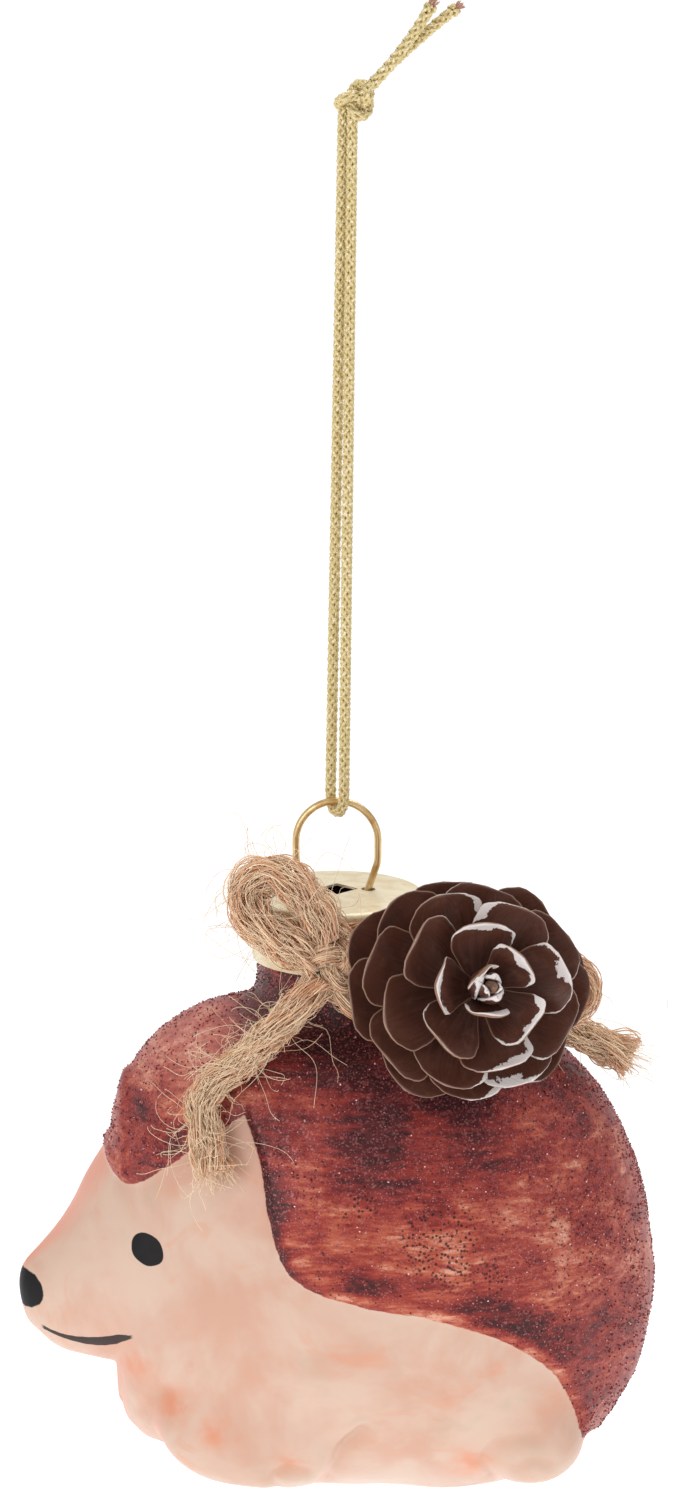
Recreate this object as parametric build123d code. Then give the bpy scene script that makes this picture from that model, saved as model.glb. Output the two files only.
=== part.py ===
from build123d import *
import math
import os

# Hanging blown-glass hedgehog: a hollow glass body with a short neck, a thin metal cap, a sprung
# wire hanger, a loop of gold cord, a jute bow and a small open pine cone beside the cap.
# Millimetres. +Z is up, the nose points to -X and the pine cone is on the -Y side.
# Everything is worked out round the axis of the neck, and moved last so that the origin is the
# hang point, where the two strands of the loop meet their knot.

# Gold cord
cord_d = 1.5
loop_drop = 97.3
loop_lean = 1.5
bight_play = 0.3
strand_side = 0.62
strand_depth = 0.5
knot_length = 6.2
knot_depth = 4.4
knot_height = 5.0
knot_side = 1.2
knot_core_shares = (0.86, 0.8, 0.9)
knot_turn_d = 1.5
knot_turns = ((62.0, -1.0), (112.0, 0.9))
bight_run_share = 1.012
bight_slack_share = 0.067
bight_turn = 35.45

# Ends of the gold cord, from the middle of its knot
cord_tail_routes = {
    "cord_tail_left": [(0, -0.8, 0), (7.0, -0.9, 7.4), (10.3, -1.1, 13.6)],
    "cord_tail_right": [(0, 0.8, 0), (7.0, 0.9, 7.6), (13.8, 1.1, 12.8)],
}

# Wire hanger
wire_d = 1.0
ring_width = 12.5
ring_leg = 7.0
ring_straight = 3.0
hole_spacing = 8.8
leg_bend_drop = 1.9
leg_drop = 13.0
leg_spread = 17.6
ring_bend_r = 5.0
leg_bend_r = 2.5

# Cap
cap_d = 24.6
cap_hem_d = 23.8
cap_height = 9.6
cap_crown = 0.5
cap_edge_r = 0.9
sheet = 0.35
wire_hole_d = 2.0
cap_window = 4.2
flute_count = 28
flute_r = 0.9
flute_depth = 0.13

# Glass
glass_wall = 1.0
neck_d = 22.4
neck_rim_gap = 0.5
neck_length = 13.4
neck_flare = 2.4
torso_length = 75.3
torso_height = 70.6
torso_width = 56.0
head_length = 25.0
head_height = 40.0
head_width = 34.0
head_drop = 35.9
head_front_share = 0.54
coat_t = 0.7
front_leg = (28.0, 16.0, 17.6)
front_leg_place = (-12.0, 13.0, 59.9)
hind_foot = (14.0, 12.4, 13.4)
hind_foot_place = (27.6, 13.6, 61.6)

# Jute twine
twine_d = 3.4
wrap_t = 1.2
wrap_height = 4.2
wrap_drop = 3.2
wrap_play = 0.05
bow_knot = (7.6, 5.4, 7.6)
bow_knot_play = 0.2
bow_knot_drop = 6.2

# Routes of the bow's free strands, from the middle of the cap's top: the ears leave the knot and
# come back to it, the left tail falls towards the head and the right one runs behind the cone
bow_routes = {
    "twine_left_ear": [
        (-2.2, -16.4, -6.2),
        (-7.4, -15.5, -3.8),
        (-12.2, -12.8, -0.6),
        (-13.0, -10.8, 3.0),
        (-10.2, -10.9, 5.4),
        (-6.2, -12.0, 4.8),
        (-2.6, -15.0, 0.8),
        (-0.4, -16.4, -3.2),
    ],
    "twine_left_tail": [
        (-2.0, -17.2, -8.2),
        (-7.0, -18.2, -14.0),
        (-13.0, -17.4, -20.2),
        (-19.0, -18.6, -24.4),
        (-18.6, -21.9, -29.4),
        (-16.9, -24.3, -34.4),
    ],
    "twine_right_ear": [
        (1.5, -16.4, -4.2),
        (11.0, -11.6, -5.0),
        (23.0, -8.4, -8.0),
        (31.6, -6.6, -9.0),
        (35.2, -6.0, -11.2),
        (35.6, -5.8, -14.6),
        (32.2, -5.6, -16.6),
        (24.0, -7.9, -14.9),
        (11.0, -13.4, -11.2),
        (1.5, -16.5, -7.8),
    ],
    "twine_right_tail": [
        (-0.5, -14.8, -9.7),
        (4.2, -15.4, -14.6),
        (12.0, -9.4, -13.8),
        (20.0, -4.6, -14.0),
        (28.0, -3.0, -17.4),
        (35.0, -2.4, -21.0),
        (41.4, -2.0, -24.0),
    ],
}

# Pine cone
cone_r = 16.9
cone_oval_share = 0.06
cone_depth = 20.0
cone_place = (16.8, 16.8, 10.05)
cone_yaw = 13.0
cone_pitch = 17.0
axis_base_r = 2.6
axis_tip_r = 0.9
axis_bud = 2.4
axis_stub = 3.4
scale_count = 30
scale_w = 11.4
scale_root_w = 2.6
scale_root_share = 0.6
scale_t = 0.6
root_sink = 0.35
golden_angle = 137.508
first_azimuth = 126.0
stub_share = 0.8
glue_r = 5.4
glue_t = 2.9
glue_play = 0.2

# Share of the full cone radius that the scale tips reach, by their number from the tip
tip_lag_share = 1.2
tip_reach_share = 7.5
root_start_share = 0.21
root_span_share = 0.74
root_power_share = 0.75
width_lag_share = 2.2
width_reach_share = 6.0
tilt_flat = 6.0
tilt_rise = 62.0
tilt_reach_share = 8.0
curl_share = 1.45

# Half-outline of a scale: shares of its length and of its full width
scale_outline_shares = [(0.34, 0.27), (0.68, 0.5), (0.91, 0.36)]

# Torso stations: shares of its length, height and width, and the drop of the middle below half height
torso_shares = [
    (-0.416, 0.425, 0.214, 0.024),
    (-0.404, 0.609, 0.339, 0.012),
    (-0.376, 0.708, 0.500, 0.010),
    (-0.321, 0.833, 0.671, 0.007),
    (-0.262, 0.907, 0.786, 0.004),
    (-0.143, 0.989, 0.929, 0.003),
    (0.000, 1.000, 0.993, 0.000),
    (0.117, 1.000, 1.000, 0.003),
    (0.228, 0.977, 0.982, 0.013),
    (0.332, 0.924, 0.900, 0.031),
    (0.422, 0.816, 0.768, 0.046),
    (0.481, 0.680, 0.625, 0.046),
    (0.526, 0.533, 0.482, 0.055),
    (0.560, 0.354, 0.321, 0.065),
    (0.579, 0.178, 0.161, 0.076),
    (0.584, 0.062, 0.057, 0.081),
]

# Head stations: share of its length back from the nose, of its height and width, and of the
# height that the middle lies below the head's own middle
head_shares = [
    (0.000, 0.060, 0.059, 0.185),
    (0.020, 0.135, 0.135, 0.185),
    (0.108, 0.280, 0.270, 0.180),
    (0.196, 0.400, 0.388, 0.170),
    (0.284, 0.515, 0.506, 0.142),
    (0.376, 0.640, 0.624, 0.098),
    (0.464, 0.745, 0.729, 0.065),
    (0.556, 0.850, 0.812, 0.035),
    (0.752, 0.975, 0.930, 0.012),
    (1.000, 1.000, 0.985, 0.000),
]
head_solid_stations = 2

# Lower edge of the coat seen from the side: shares of the torso's length and of its height below the top
tuft_edge_shares = [(-0.452, 0.312), (-0.394, 0.356), (-0.325, 0.307), (-0.252, 0.241), (-0.170, 0.180)]
coat_edge_shares = [
    (-0.170, 0.180),
    (-0.141, 0.269),
    (-0.128, 0.361),
    (-0.088, 0.477),
    (0.051, 0.541),
    (0.169, 0.564),
    (0.311, 0.623),
    (0.405, 0.711),
    (0.445, 0.812),
    (0.466, 0.885),
    (0.531, 0.950),
]

# Share of the shorter run beside a corner that its arc takes
arc_share = 0.45

# Worked-out sizes
cord_r = cord_d / 2
wire_r = wire_d / 2
ring_r = (ring_width - wire_d) / 2
ring_top_z = -loop_drop
ring_middle_z = ring_top_z - ring_r
cap_top_z = ring_middle_z - ring_leg
cap_r = cap_d / 2
cap_hem_r = cap_hem_d / 2
cap_rim_z = cap_top_z - cap_crown
cap_hem_z = cap_top_z - cap_height
neck_r = neck_d / 2
bore_r = neck_r - glass_wall
neck_rim_z = cap_rim_z - sheet - neck_rim_gap
torso_top_z = neck_rim_z - neck_length
nose_x = torso_length * torso_shares[0][0] - head_length * head_front_share
hole_x = hole_spacing / 2
wrap_r = cap_r + wrap_play + wrap_t / 2
wrap_z = cap_top_z - wrap_drop
knot_x = loop_lean + knot_side
knot_z = knot_height / 2
bow_knot_y = -(wrap_r + wrap_t / 2 + bow_knot_play + bow_knot[1] / 2)
bow_knot_z = cap_top_z - bow_knot_drop
to_hang_point = Pos(-loop_lean, 0, 0)


def ellipsoid(sizes, centre):
    """An egg with the given full sizes, round the given middle."""
    halves = [size / 2 for size in sizes]
    return Pos(*centre) * scale(Sphere(radius=1), by=tuple(halves))


def route_from(origin, points):
    """A route's points, moved from its own origin."""
    return [tuple(Vector(*origin) + Vector(*point)) for point in points]


def corner_radii(points):
    """As large an arc at each corner as its two runs allow."""
    radii = []
    for before, here, after in zip(points, points[1:], points[2:]):
        run_in = Vector(*here) - Vector(*before)
        run_out = Vector(*after) - Vector(*here)
        turn = math.radians(run_in.get_angle(run_out))
        radii.append(arc_share * min(run_in.length, run_out.length) / math.tan(turn / 2))
    return radii


def tube(points, diameter, radii):
    """A round strand along straight runs joined by arcs."""
    path = FilletPolyline(*points, radius=radii)
    start = Plane(origin=path @ 0, z_dir=path % 0)
    strand = sweep(start * Circle(diameter / 2), path=path)
    fill = strand.volume / (math.pi * diameter**2 / 4 * path.length)
    print("strand", round(path.length, 1), "long, volume share", round(fill, 4))
    return strand


def free_strand(name, points, diameter):
    """A strand that lies free, with its bend radii printed."""
    radii = corner_radii(points)
    print(name, "bend radii", [round(radius, 1) for radius in radii])
    return tube(points, diameter, radii)


def ring_section(x, height, width, z):
    """One upright oval across the body."""
    return Plane(origin=(x, 0, z), x_dir=(0, 1, 0), z_dir=(1, 0, 0)) * Ellipse(width / 2, height / 2)


def torso(grow):
    """The torso, grown or shrunk all round."""
    sections = []
    for x_share, height_share, width_share, drop_share in torso_shares:
        x = x_share * (torso_length + 2 * grow)
        z = torso_top_z - torso_height * (0.5 + drop_share)
        height = height_share * torso_height + 2 * grow
        width = width_share * torso_width + 2 * grow
        sections.append(ring_section(x, height, width, z))
    return loft(sections)


def head(grow, stations):
    """The head from the snout back into the torso, grown or shrunk all round."""
    sections = []
    for x_share, height_share, width_share, drop_share in stations:
        x = nose_x - grow + x_share * head_length
        z = torso_top_z - head_drop - drop_share * head_height
        height = height_share * head_height + 2 * grow
        width = width_share * head_width + 2 * grow
        sections.append(ring_section(x, height, width, z))
    return loft(sections)


def coat_prism():
    """Everything above the lower edge of the coat, seen from the side."""
    low = [(torso_length * x, torso_top_z - torso_height * z) for x, z in tuft_edge_shares]
    side = [(torso_length * x, torso_top_z - torso_height * z) for x, z in coat_edge_shares]
    tuft_edge = Spline(*low)
    side_edge = Spline(*side)
    back = [side[-1], (torso_length, side[-1][1]), (torso_length, 0)]
    front = [(-torso_length, 0), (-torso_length, low[0][1]), low[0]]
    over = Polyline(*back, *front)
    outline = Plane.XZ * make_face([tuft_edge.edge(), side_edge.edge(), *over.edges()])
    return extrude(outline, amount=torso_width, both=True)


def neck():
    """The neck with its flared foot, solid inside."""
    foot_z = torso_top_z - neck_flare
    start_z = torso_top_z + neck_flare / 2
    foot_r = neck_r + neck_flare
    flare = RadiusArc((neck_r, start_z), (foot_r, foot_z), neck_flare * 2)
    sides = Polyline((foot_r, foot_z), (0, foot_z), (0, neck_rim_z), (neck_r, neck_rim_z), (neck_r, start_z))
    profile = Plane.XZ * make_face([flare.edge(), *sides.edges()])
    return revolve(profile, Axis.Z)


def glass_body():
    """One hollow blown body: torso, head, feet, raised coat and neck."""
    body = torso(0) + head(0, head_shares) + neck()
    body += torso(coat_t) & coat_prism()
    for sizes, place in ((front_leg, front_leg_place), (hind_foot, hind_foot_place)):
        for side in (-1, 1):
            middle = (place[0], side * place[1], torso_top_z - place[2])
            body += ellipsoid(sizes, middle)
    hollow = torso(-glass_wall) + head(-glass_wall, head_shares[head_solid_stations:])
    bore_length = neck_length + torso_height / 2
    hollow += Pos(0, 0, neck_rim_z - bore_length / 2 + glass_wall) * Cylinder(bore_r, bore_length)
    return body - hollow


def cap_form(inset):
    """The cap's outer form, or its inside when it is inset by the sheet."""
    top_z = cap_top_z - inset
    rim_z = cap_rim_z - inset
    rim_r = cap_r - inset
    edge_r = cap_edge_r - inset
    hem_z = cap_hem_z
    crown = ThreePointArc((0, top_z), (rim_r / 2, top_z - cap_crown / 4), (rim_r - edge_r, rim_z))
    edge = RadiusArc(crown @ 1, (rim_r, rim_z - edge_r), edge_r)
    skirt = Line(edge @ 1, (cap_hem_r - inset, hem_z))
    close = Polyline(skirt @ 1, (0, hem_z), (0, top_z))
    profile = Plane.XZ * make_face([crown.edge(), edge.edge(), skirt.edge(), *close.edges()])
    return revolve(profile, Axis.Z)


def cap():
    """Thin crowned cap with a fluted skirt, two wire holes and a square window."""
    solid = cap_form(0) - cap_form(sheet)
    through = Pos(0, 0, cap_rim_z)
    for side in (-1, 1):
        solid -= through * Pos(side * hole_x, 0, 0) * Cylinder(wire_hole_d / 2, cap_height)
    solid -= through * Rot(0, 0, 45) * Box(cap_window, cap_window, cap_height / 2)
    flute_x = (cap_r + cap_hem_r) / 2 + flute_r - flute_depth
    flute_z = (cap_rim_z + cap_hem_z) / 2 - cap_edge_r
    lean = math.degrees(math.atan2(cap_r - cap_hem_r, cap_height))
    flute = Pos(flute_x, 0, flute_z) * Rot(0, lean, 0) * Cylinder(flute_r, cap_height)
    for number in range(flute_count):
        solid -= Rot(0, 0, number * 360 / flute_count) * flute
    return solid


def hanger():
    """Ring of spring wire whose legs go through the cap and spread inside the neck."""
    side_z = ring_middle_z - ring_straight
    bend = Vector(hole_x, 0, cap_top_z)
    knee = Vector(ring_r, 0, side_z)
    below = bend + (bend - knee).normalized() * leg_bend_drop
    foot = Vector(leg_spread / 2, 0, cap_top_z - leg_drop)
    start = Vector(ring_r, 0, ring_middle_z)
    leg = FilletPolyline(foot, below, knee, start, radius=[leg_bend_r, ring_bend_r])
    arch = ThreePointArc(start, (0, 0, ring_top_z), (-ring_r, 0, ring_middle_z))
    other = [edge.mirror(Plane.YZ) for edge in leg.edges()]
    path = Wire([*leg.edges(), arch.edge(), *other])
    section = Plane(origin=path @ 0, z_dir=path % 0) * Circle(wire_r)
    return sweep(section, path=path)


def cord_knot():
    """Overhand knot of the doubled cord: a core with the turns that cross over it."""
    sizes = [size * share for size, share in zip((knot_length, knot_depth, knot_height), knot_core_shares)]
    core = ellipsoid(sizes, (knot_x, 0, knot_z))
    turn_r = knot_turn_d / 2
    turn = Torus(knot_height / 2 - turn_r, turn_r)
    for tilt, along in knot_turns:
        core += Pos(knot_x + along, 0, knot_z) * Rot(0, tilt, 0) * turn
    return core


def cord_loop(knot):
    """Two tight strands from the knot down and under the ring wire."""
    low_z = ring_top_z - wire_r - bight_play - cord_r
    bight_r = wire_r + bight_play + cord_r * (1 + bight_slack_share)
    half = bight_r * bight_run_share
    low_x = half * math.sin(math.radians(bight_turn))
    low_y = half * math.cos(math.radians(bight_turn))
    points = [
        (loop_lean + strand_side, -strand_depth, knot_z),
        (low_x, -low_y, low_z),
        (-low_x, low_y, low_z),
        (loop_lean - strand_side, strand_depth, knot_z),
    ]
    print("hanging_cord bend radius", round(bight_r, 2))
    return tube(points, cord_d, [bight_r, bight_r]) - knot


def cord_tail(name, route, knot):
    """One short end of the cord above the knot."""
    return free_strand(name, route_from((knot_x, 0, knot_z), route), cord_d) - knot


def twine_wrap():
    """Flat turn of twine round the cap's skirt."""
    band = Pos(wrap_r, 0, wrap_z) * Rot(90, 0, 0) * Ellipse(wrap_t / 2, wrap_height / 2)
    return revolve(band, Axis.Z)


def cone_frame():
    """Middle of the cone's base, with Z along its axis towards the tip."""
    yaw = math.radians(cone_yaw)
    pitch = math.radians(cone_pitch)
    axis = (math.sin(yaw), -math.cos(yaw) * math.cos(pitch), math.cos(yaw) * math.sin(pitch))
    base = (cone_place[0], -cone_place[1], cap_top_z - cone_place[2])
    across = Vector(1, 0, 0) - Vector(*axis) * axis[0]
    return Plane(origin=base, x_dir=across, z_dir=axis)


def axis_radius(height):
    """Radius of the cone's woody axis at a height above its base."""
    return axis_base_r + (axis_tip_r - axis_base_r) * height / cone_depth


def cone_axis():
    """Tapering woody axis with a stub behind and a pointed bud in front."""
    stem = Pos(0, 0, cone_depth / 2) * Cone(axis_base_r, axis_tip_r, cone_depth)
    stub = Pos(0, 0, -axis_stub / 2) * Cylinder(axis_base_r * stub_share, axis_stub)
    bud = Pos(0, 0, cone_depth + axis_bud / 2) * Cone(axis_tip_r, axis_tip_r / 4, axis_bud)
    return stem + stub + bud


def cone_scale(number):
    """One spoon-shaped scale: a plate cut from a ball shell, rooted on the axis."""
    azimuth = first_azimuth + number * golden_angle
    oval = 1 + cone_oval_share * math.cos(math.radians(2 * azimuth))
    reach = cone_r * oval * (1 - math.exp(-(number + tip_lag_share) / tip_reach_share))
    along = number / (scale_count - 1)
    root_h = cone_depth * (1 - root_start_share - root_span_share * along**root_power_share)
    tilt = tilt_flat + tilt_rise * math.exp(-number / tilt_reach_share)
    width = scale_w * (1 - math.exp(-(number + width_lag_share) / width_reach_share))
    root_r = axis_radius(root_h) - root_sink
    length = (reach - root_r) / math.cos(math.radians(tilt))
    ball_r = curl_share * length
    rise = ball_r - math.sqrt(ball_r**2 - length**2 / 4)
    root_w = min(scale_root_w, width * scale_root_share)
    upper = [(length * x, width * y) for x, y in scale_outline_shares]
    lower = [(x, -y) for x, y in reversed(upper)]
    edge = Spline((0, root_w / 2), *upper, (length, 0), *lower, (0, -root_w / 2))
    foot = Line((0, -root_w / 2), (0, root_w / 2))
    plate = extrude(make_face([edge.edge(), foot.edge()]), amount=rise + width / 3, both=True)
    ball = Pos(length / 2, 0, ball_r - rise)
    plate = (plate & ball * Sphere(ball_r + scale_t / 2)) - ball * Sphere(ball_r - scale_t / 2)
    return Rot(0, 0, azimuth) * Pos(root_r, 0, root_h) * Rot(0, -tilt, 0) * plate


def bow_knot_form():
    """Rounded knot of the twine bow."""
    return ellipsoid(bow_knot, (0, bow_knot_y, bow_knot_z))


def bow_strand(name, route, knot):
    """A free strand of the bow, up to the face of its knot."""
    rest = free_strand(name, route_from((0, 0, cap_top_z), route), twine_d) - knot
    return max(rest.solids(), key=lambda piece: piece.volume)


def glue_pad():
    """Flattened pad of hot glue round the stub, between the cone and the bow behind it."""
    stub_r = axis_base_r * stub_share
    flat_r = glue_r - glue_t / 2
    front = -glue_play
    back = front - glue_t
    face = Line((flat_r, front), (stub_r, front))
    hole = Line((stub_r, front), (stub_r, back))
    rear = Line((stub_r, back), (flat_r, back))
    rim = ThreePointArc((flat_r, back), (glue_r, (front + back) / 2), (flat_r, front))
    profile = Plane.XZ * make_face([face.edge(), hole.edge(), rear.edge(), rim.edge()])
    return revolve(profile, Axis.Z)


os.makedirs("parts", exist_ok=True)
nodes = {}
nodes["glass_body"] = glass_body()
nodes["cap"] = cap()
nodes["hanger_wire"] = hanger()
nodes["cord_knot"] = cord_knot()
nodes["hanging_cord"] = cord_loop(nodes["cord_knot"])
for name, route in cord_tail_routes.items():
    nodes[name] = cord_tail(name, route, nodes["cord_knot"])
nodes["twine_wrap"] = twine_wrap()
nodes["twine_knot"] = bow_knot_form()
for name, route in bow_routes.items():
    nodes[name] = bow_strand(name, route, nodes["twine_knot"])
nodes["cone_axis"] = cone_frame() * cone_axis()
nodes["glue_pad"] = cone_frame() * glue_pad()
stem = cone_axis()
for number in range(scale_count):
    nodes[f"cone_scale_{number + 1:02d}"] = cone_frame() * (cone_scale(number) - stem)
for name, node in nodes.items():
    export_step(to_hang_point * node, f"parts/{name}.step")
    print(name, len(node.solids()), round(node.volume, 1))
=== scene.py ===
import math

import bpy
import numpy as np
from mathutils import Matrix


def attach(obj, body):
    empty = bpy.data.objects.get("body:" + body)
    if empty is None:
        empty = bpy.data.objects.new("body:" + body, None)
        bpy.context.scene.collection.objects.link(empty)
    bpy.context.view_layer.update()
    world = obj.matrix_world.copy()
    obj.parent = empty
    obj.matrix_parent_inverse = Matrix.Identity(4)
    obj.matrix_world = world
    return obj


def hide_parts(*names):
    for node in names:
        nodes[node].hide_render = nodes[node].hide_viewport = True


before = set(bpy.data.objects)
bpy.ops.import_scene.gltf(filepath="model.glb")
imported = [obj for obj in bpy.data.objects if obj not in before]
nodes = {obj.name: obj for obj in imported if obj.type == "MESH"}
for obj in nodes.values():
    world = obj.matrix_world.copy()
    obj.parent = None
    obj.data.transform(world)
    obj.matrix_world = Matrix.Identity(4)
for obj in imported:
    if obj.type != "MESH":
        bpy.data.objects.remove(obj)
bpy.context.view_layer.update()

# Metres. The origin is the hang point, +Z is up, the nose points to -X and the camera looks along +Y.
# The neck's axis stands beside the origin, because the cord leans a little.
place = {"neckX": -0.0015, "capTopZ": -0.11005, "torsoTopZ": -0.1248, "knotX": 0.0012, "knotZ": 0.0025}
fullTurn = 2 * np.pi


def tint(red, green, blue):  # a colour as a painter reads it off a chart, 0 to 255, made linear
    parts = np.array([red, green, blue]) / 255
    linear = np.where(parts <= 0.04045, parts / 12.92, ((parts + 0.055) / 1.055) ** 2.4)
    return (*linear.tolist(), 1.0)


# Shader maths: a Level is one socket, and an expression on it adds its Math nodes
class Level:
    def __init__(self, finish, socket):
        self.finish = finish
        self.socket = socket

    def maths(self, operation, *values):
        return self.finish.add("ShaderNodeMath", {"operation": operation}, dict(enumerate(values)))

    def __add__(self, other):
        return self.maths("ADD", self, other)

    def __radd__(self, other):
        return self.maths("ADD", other, self)

    def __sub__(self, other):
        return self.maths("SUBTRACT", self, other)

    def __rsub__(self, other):
        return self.maths("SUBTRACT", other, self)

    def __mul__(self, other):
        return self.maths("MULTIPLY", self, other)

    def __rmul__(self, other):
        return self.maths("MULTIPLY", other, self)

    def __abs__(self):
        return self.maths("ABSOLUTE", self)

    def most(self, other):
        return self.maths("MAXIMUM", self, other)


class Finish:
    def __init__(self, name):
        self.material = bpy.data.materials.new(name)
        self.material.use_nodes = True
        self.tree = self.material.node_tree
        self.tree.nodes.clear()
        self.output = self.tree.nodes.new("ShaderNodeOutputMaterial")

    def give(self, socket, value):
        if isinstance(value, Level):
            self.tree.links.new(value.socket, socket)
        else:
            socket.default_value = value

    def add(self, kind, settings=None, values=None, out=0):
        node = self.tree.nodes.new(kind)
        for name, setting in (settings or {}).items():
            if name == "stops":
                ramp = node.color_ramp
                while len(ramp.elements) < len(setting):
                    ramp.elements.new(0.5)
                for element, (position, colour) in zip(ramp.elements, setting):
                    element.position = position
                    element.color = colour
            else:
                setattr(node, name, setting)
        for name, value in (values or {}).items():
            self.give(node.inputs[name], value)
        return Level(self, node.outputs[out])

    def spot(self):  # place on the piece, in metres
        return self.add("ShaderNodeTexCoord", None, None, "Object")

    def noted(self, name, out="Fac"):  # a value kept on the piece's points
        return self.add("ShaderNodeAttribute", {"attribute_name": name}, None, out)

    def along(self, vector, axis):  # one coordinate of a vector
        return self.add("ShaderNodeSeparateXYZ", None, {"Vector": vector}, axis)

    def channel(self, colour, number):  # one channel of a colour
        return self.add("ShaderNodeSeparateColor", None, {"Color": colour}, number)

    def stretched(self, vector, stretch, turn=(0, 0, 0)):
        return self.add("ShaderNodeMapping", None, {"Vector": vector, "Scale": stretch, "Rotation": turn})

    def noise(self, vector, scale, detail, rough, bend=0.0):
        values = {"Vector": vector, "Scale": scale, "Detail": detail, "Roughness": rough, "Distortion": bend}
        return self.add("ShaderNodeTexNoise", None, values, "Fac")

    def cells(self, vector, scale, out="Distance"):
        return self.add("ShaderNodeTexVoronoi", None, {"Vector": vector, "Scale": scale}, out)

    def between(self, level, low, high):  # 0 below low, 1 above high, smooth in between
        values = {"Value": level, "From Min": low, "From Max": high}
        return self.add("ShaderNodeMapRange", {"interpolation_type": "SMOOTHSTEP"}, values)

    def band(self, level, rise, fall):  # 0 outside a band, 1 within it, with a soft rise and fall
        return self.between(level, *rise) * self.between(level, *fall)

    def ramp(self, level, stops):
        return self.add("ShaderNodeValToRGB", {"stops": stops}, {"Fac": level})

    def mix(self, share, first, second):
        settings = {"data_type": "RGBA", "blend_type": "MIX", "clamp_factor": True}
        return self.add("ShaderNodeMix", settings, {0: share, 6: first, 7: second}, 2)

    def layered(self, colour, *layers):  # each layer is a share and the colour that it lays over the rest
        for share, over in layers:
            colour = self.mix(share, colour, over)
        return colour

    def mixSkins(self, share, first, second):
        return self.add("ShaderNodeMixShader", None, {0: share, 1: first, 2: second})

    def bump(self, height, depth, strength):
        return self.add("ShaderNodeBump", None, {"Height": height, "Distance": depth, "Strength": strength})

    def skin(self, **values):
        named = {name.replace("_", " "): value for name, value in values.items()}
        return self.add("ShaderNodeBsdfPrincipled", None, named)

    def done(self, skin):
        self.tree.links.new(skin.socket, self.output.inputs["Surface"])
        return self.material


def linked(name, data):  # a new object of the scene
    thing = bpy.data.objects.new(name, data)
    bpy.context.scene.collection.objects.link(thing)
    return thing


# Meshes from arrays
def meshPiece(name, points, faces, finish, body, slot, replaced, notes):
    mesh = bpy.data.meshes.new(name)
    mesh.from_pydata(points.reshape(-1, 3).tolist(), [], faces)
    for note, values in notes.items():
        kind, field = ("FLOAT_VECTOR", "vector") if values.ndim > 1 else ("FLOAT", "value")
        attribute = mesh.attributes.new(note, kind, "POINT")
        attribute.data.foreach_set(field, values.astype(np.float32).ravel())
    mesh.polygons.foreach_set("use_smooth", [True] * len(mesh.polygons))
    mesh.materials.append(finish)
    mesh.update()
    piece = linked(name, mesh)
    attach(piece, body)
    if replaced:
        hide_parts(*replaced)
    return piece


def ringFaces(rows, columns, closeRows=False, flip=False):
    # Quads of a grid whose columns run round and meet, and whose rows may meet too
    row, column = np.arange(rows if closeRows else rows - 1)[:, None], np.arange(columns)
    nextRow, nextColumn = (row + 1) % rows, (column + 1) % columns
    corners = [row * columns + column, row * columns + nextColumn]
    corners += [nextRow * columns + nextColumn, nextRow * columns + column]
    quads = np.stack([corner.ravel() for corner in corners], 1)
    return quads[:, ::-1] if flip else quads


def pouchFaces(rows, around):  # a grid round a tube, with one face over each end
    return [
        *ringFaces(rows, around).tolist(),
        list(range(around))[::-1],
        [(rows - 1) * around + k for k in range(around)],
    ]


def together(first, second):
    # Two shapes as one: each is its points and its faces, and the second's faces count on from the first
    points, faces = first
    morePoints, moreFaces = second
    return np.concatenate([points, morePoints]), faces + [[index + len(points) for index in face] for face in moreFaces]


def unit(vectors):
    return vectors / np.maximum(np.linalg.norm(vectors, axis=-1, keepdims=True), 1e-12)


def inward(low, high, values):  # smooth step from 0 at low to 1 at high
    share = np.clip((values - low) / (high - low), 0, 1)
    return share * share * (3 - 2 * share)


def turnsOf(count):  # one whole turn in equal steps
    return np.arange(count) * fullTurn / count


def circleOf(count):  # points of a flat circle of radius 1
    turn = turnsOf(count)
    return np.stack([np.cos(turn), np.sin(turn), 0 * turn], 1)


def runAlong(points):  # how far along its line each point is
    return np.concatenate([[0], np.cumsum(np.linalg.norm(np.diff(points, axis=0), axis=1))])


def crossways(side, up, angle):  # the way across a path at an angle from its side vector
    return side * np.cos(angle) + up * np.sin(angle)


def drawn(source, low, high, count):  # a random value for each thread, to go with its steps and coordinates
    return source.uniform(low, high, count)[:, None, None]


def turned(points, first, second, angle):
    # Points with two of their coordinates turned by an angle: a cos - b sin and a sin + b cos
    c, s = math.cos(angle), math.sin(angle)
    result = points.copy()
    result[..., first] = points[..., first] * c - points[..., second] * s
    result[..., second] = points[..., first] * s + points[..., second] * c
    return result


def readRoute(points, step):
    # Evenly spaced points along the smooth curve of a route, and how far along it they are
    curve = bpy.data.curves.new("route", "CURVE")
    curve.dimensions = "3D"
    curve.resolution_u = 24
    spline = curve.splines.new("NURBS")
    spline.points.add(len(points) - 1)
    for knot, point in zip(spline.points, points):
        knot.co = (*point, 1)
    spline.order_u = 3
    spline.use_endpoint_u = True
    strung = linked("route", curve)
    bpy.context.view_layer.update()
    mesh = bpy.data.meshes.new_from_object(strung.evaluated_get(bpy.context.evaluated_depsgraph_get()))
    line = np.array([vertex.co for vertex in mesh.vertices])
    bpy.data.objects.remove(strung)
    bpy.data.meshes.remove(mesh)
    run = runAlong(line)
    along = np.linspace(0, run[-1], int(round(run[-1] / step)) + 1)
    return np.stack([np.interp(along, run, line[:, axis]) for axis in range(3)], 1), along


def tangents(lines, axis, closed):
    ahead = np.roll(lines, -1, axis=axis) - np.roll(lines, 1, axis=axis) if closed else np.gradient(lines, axis=axis)
    return unit(ahead)


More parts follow.
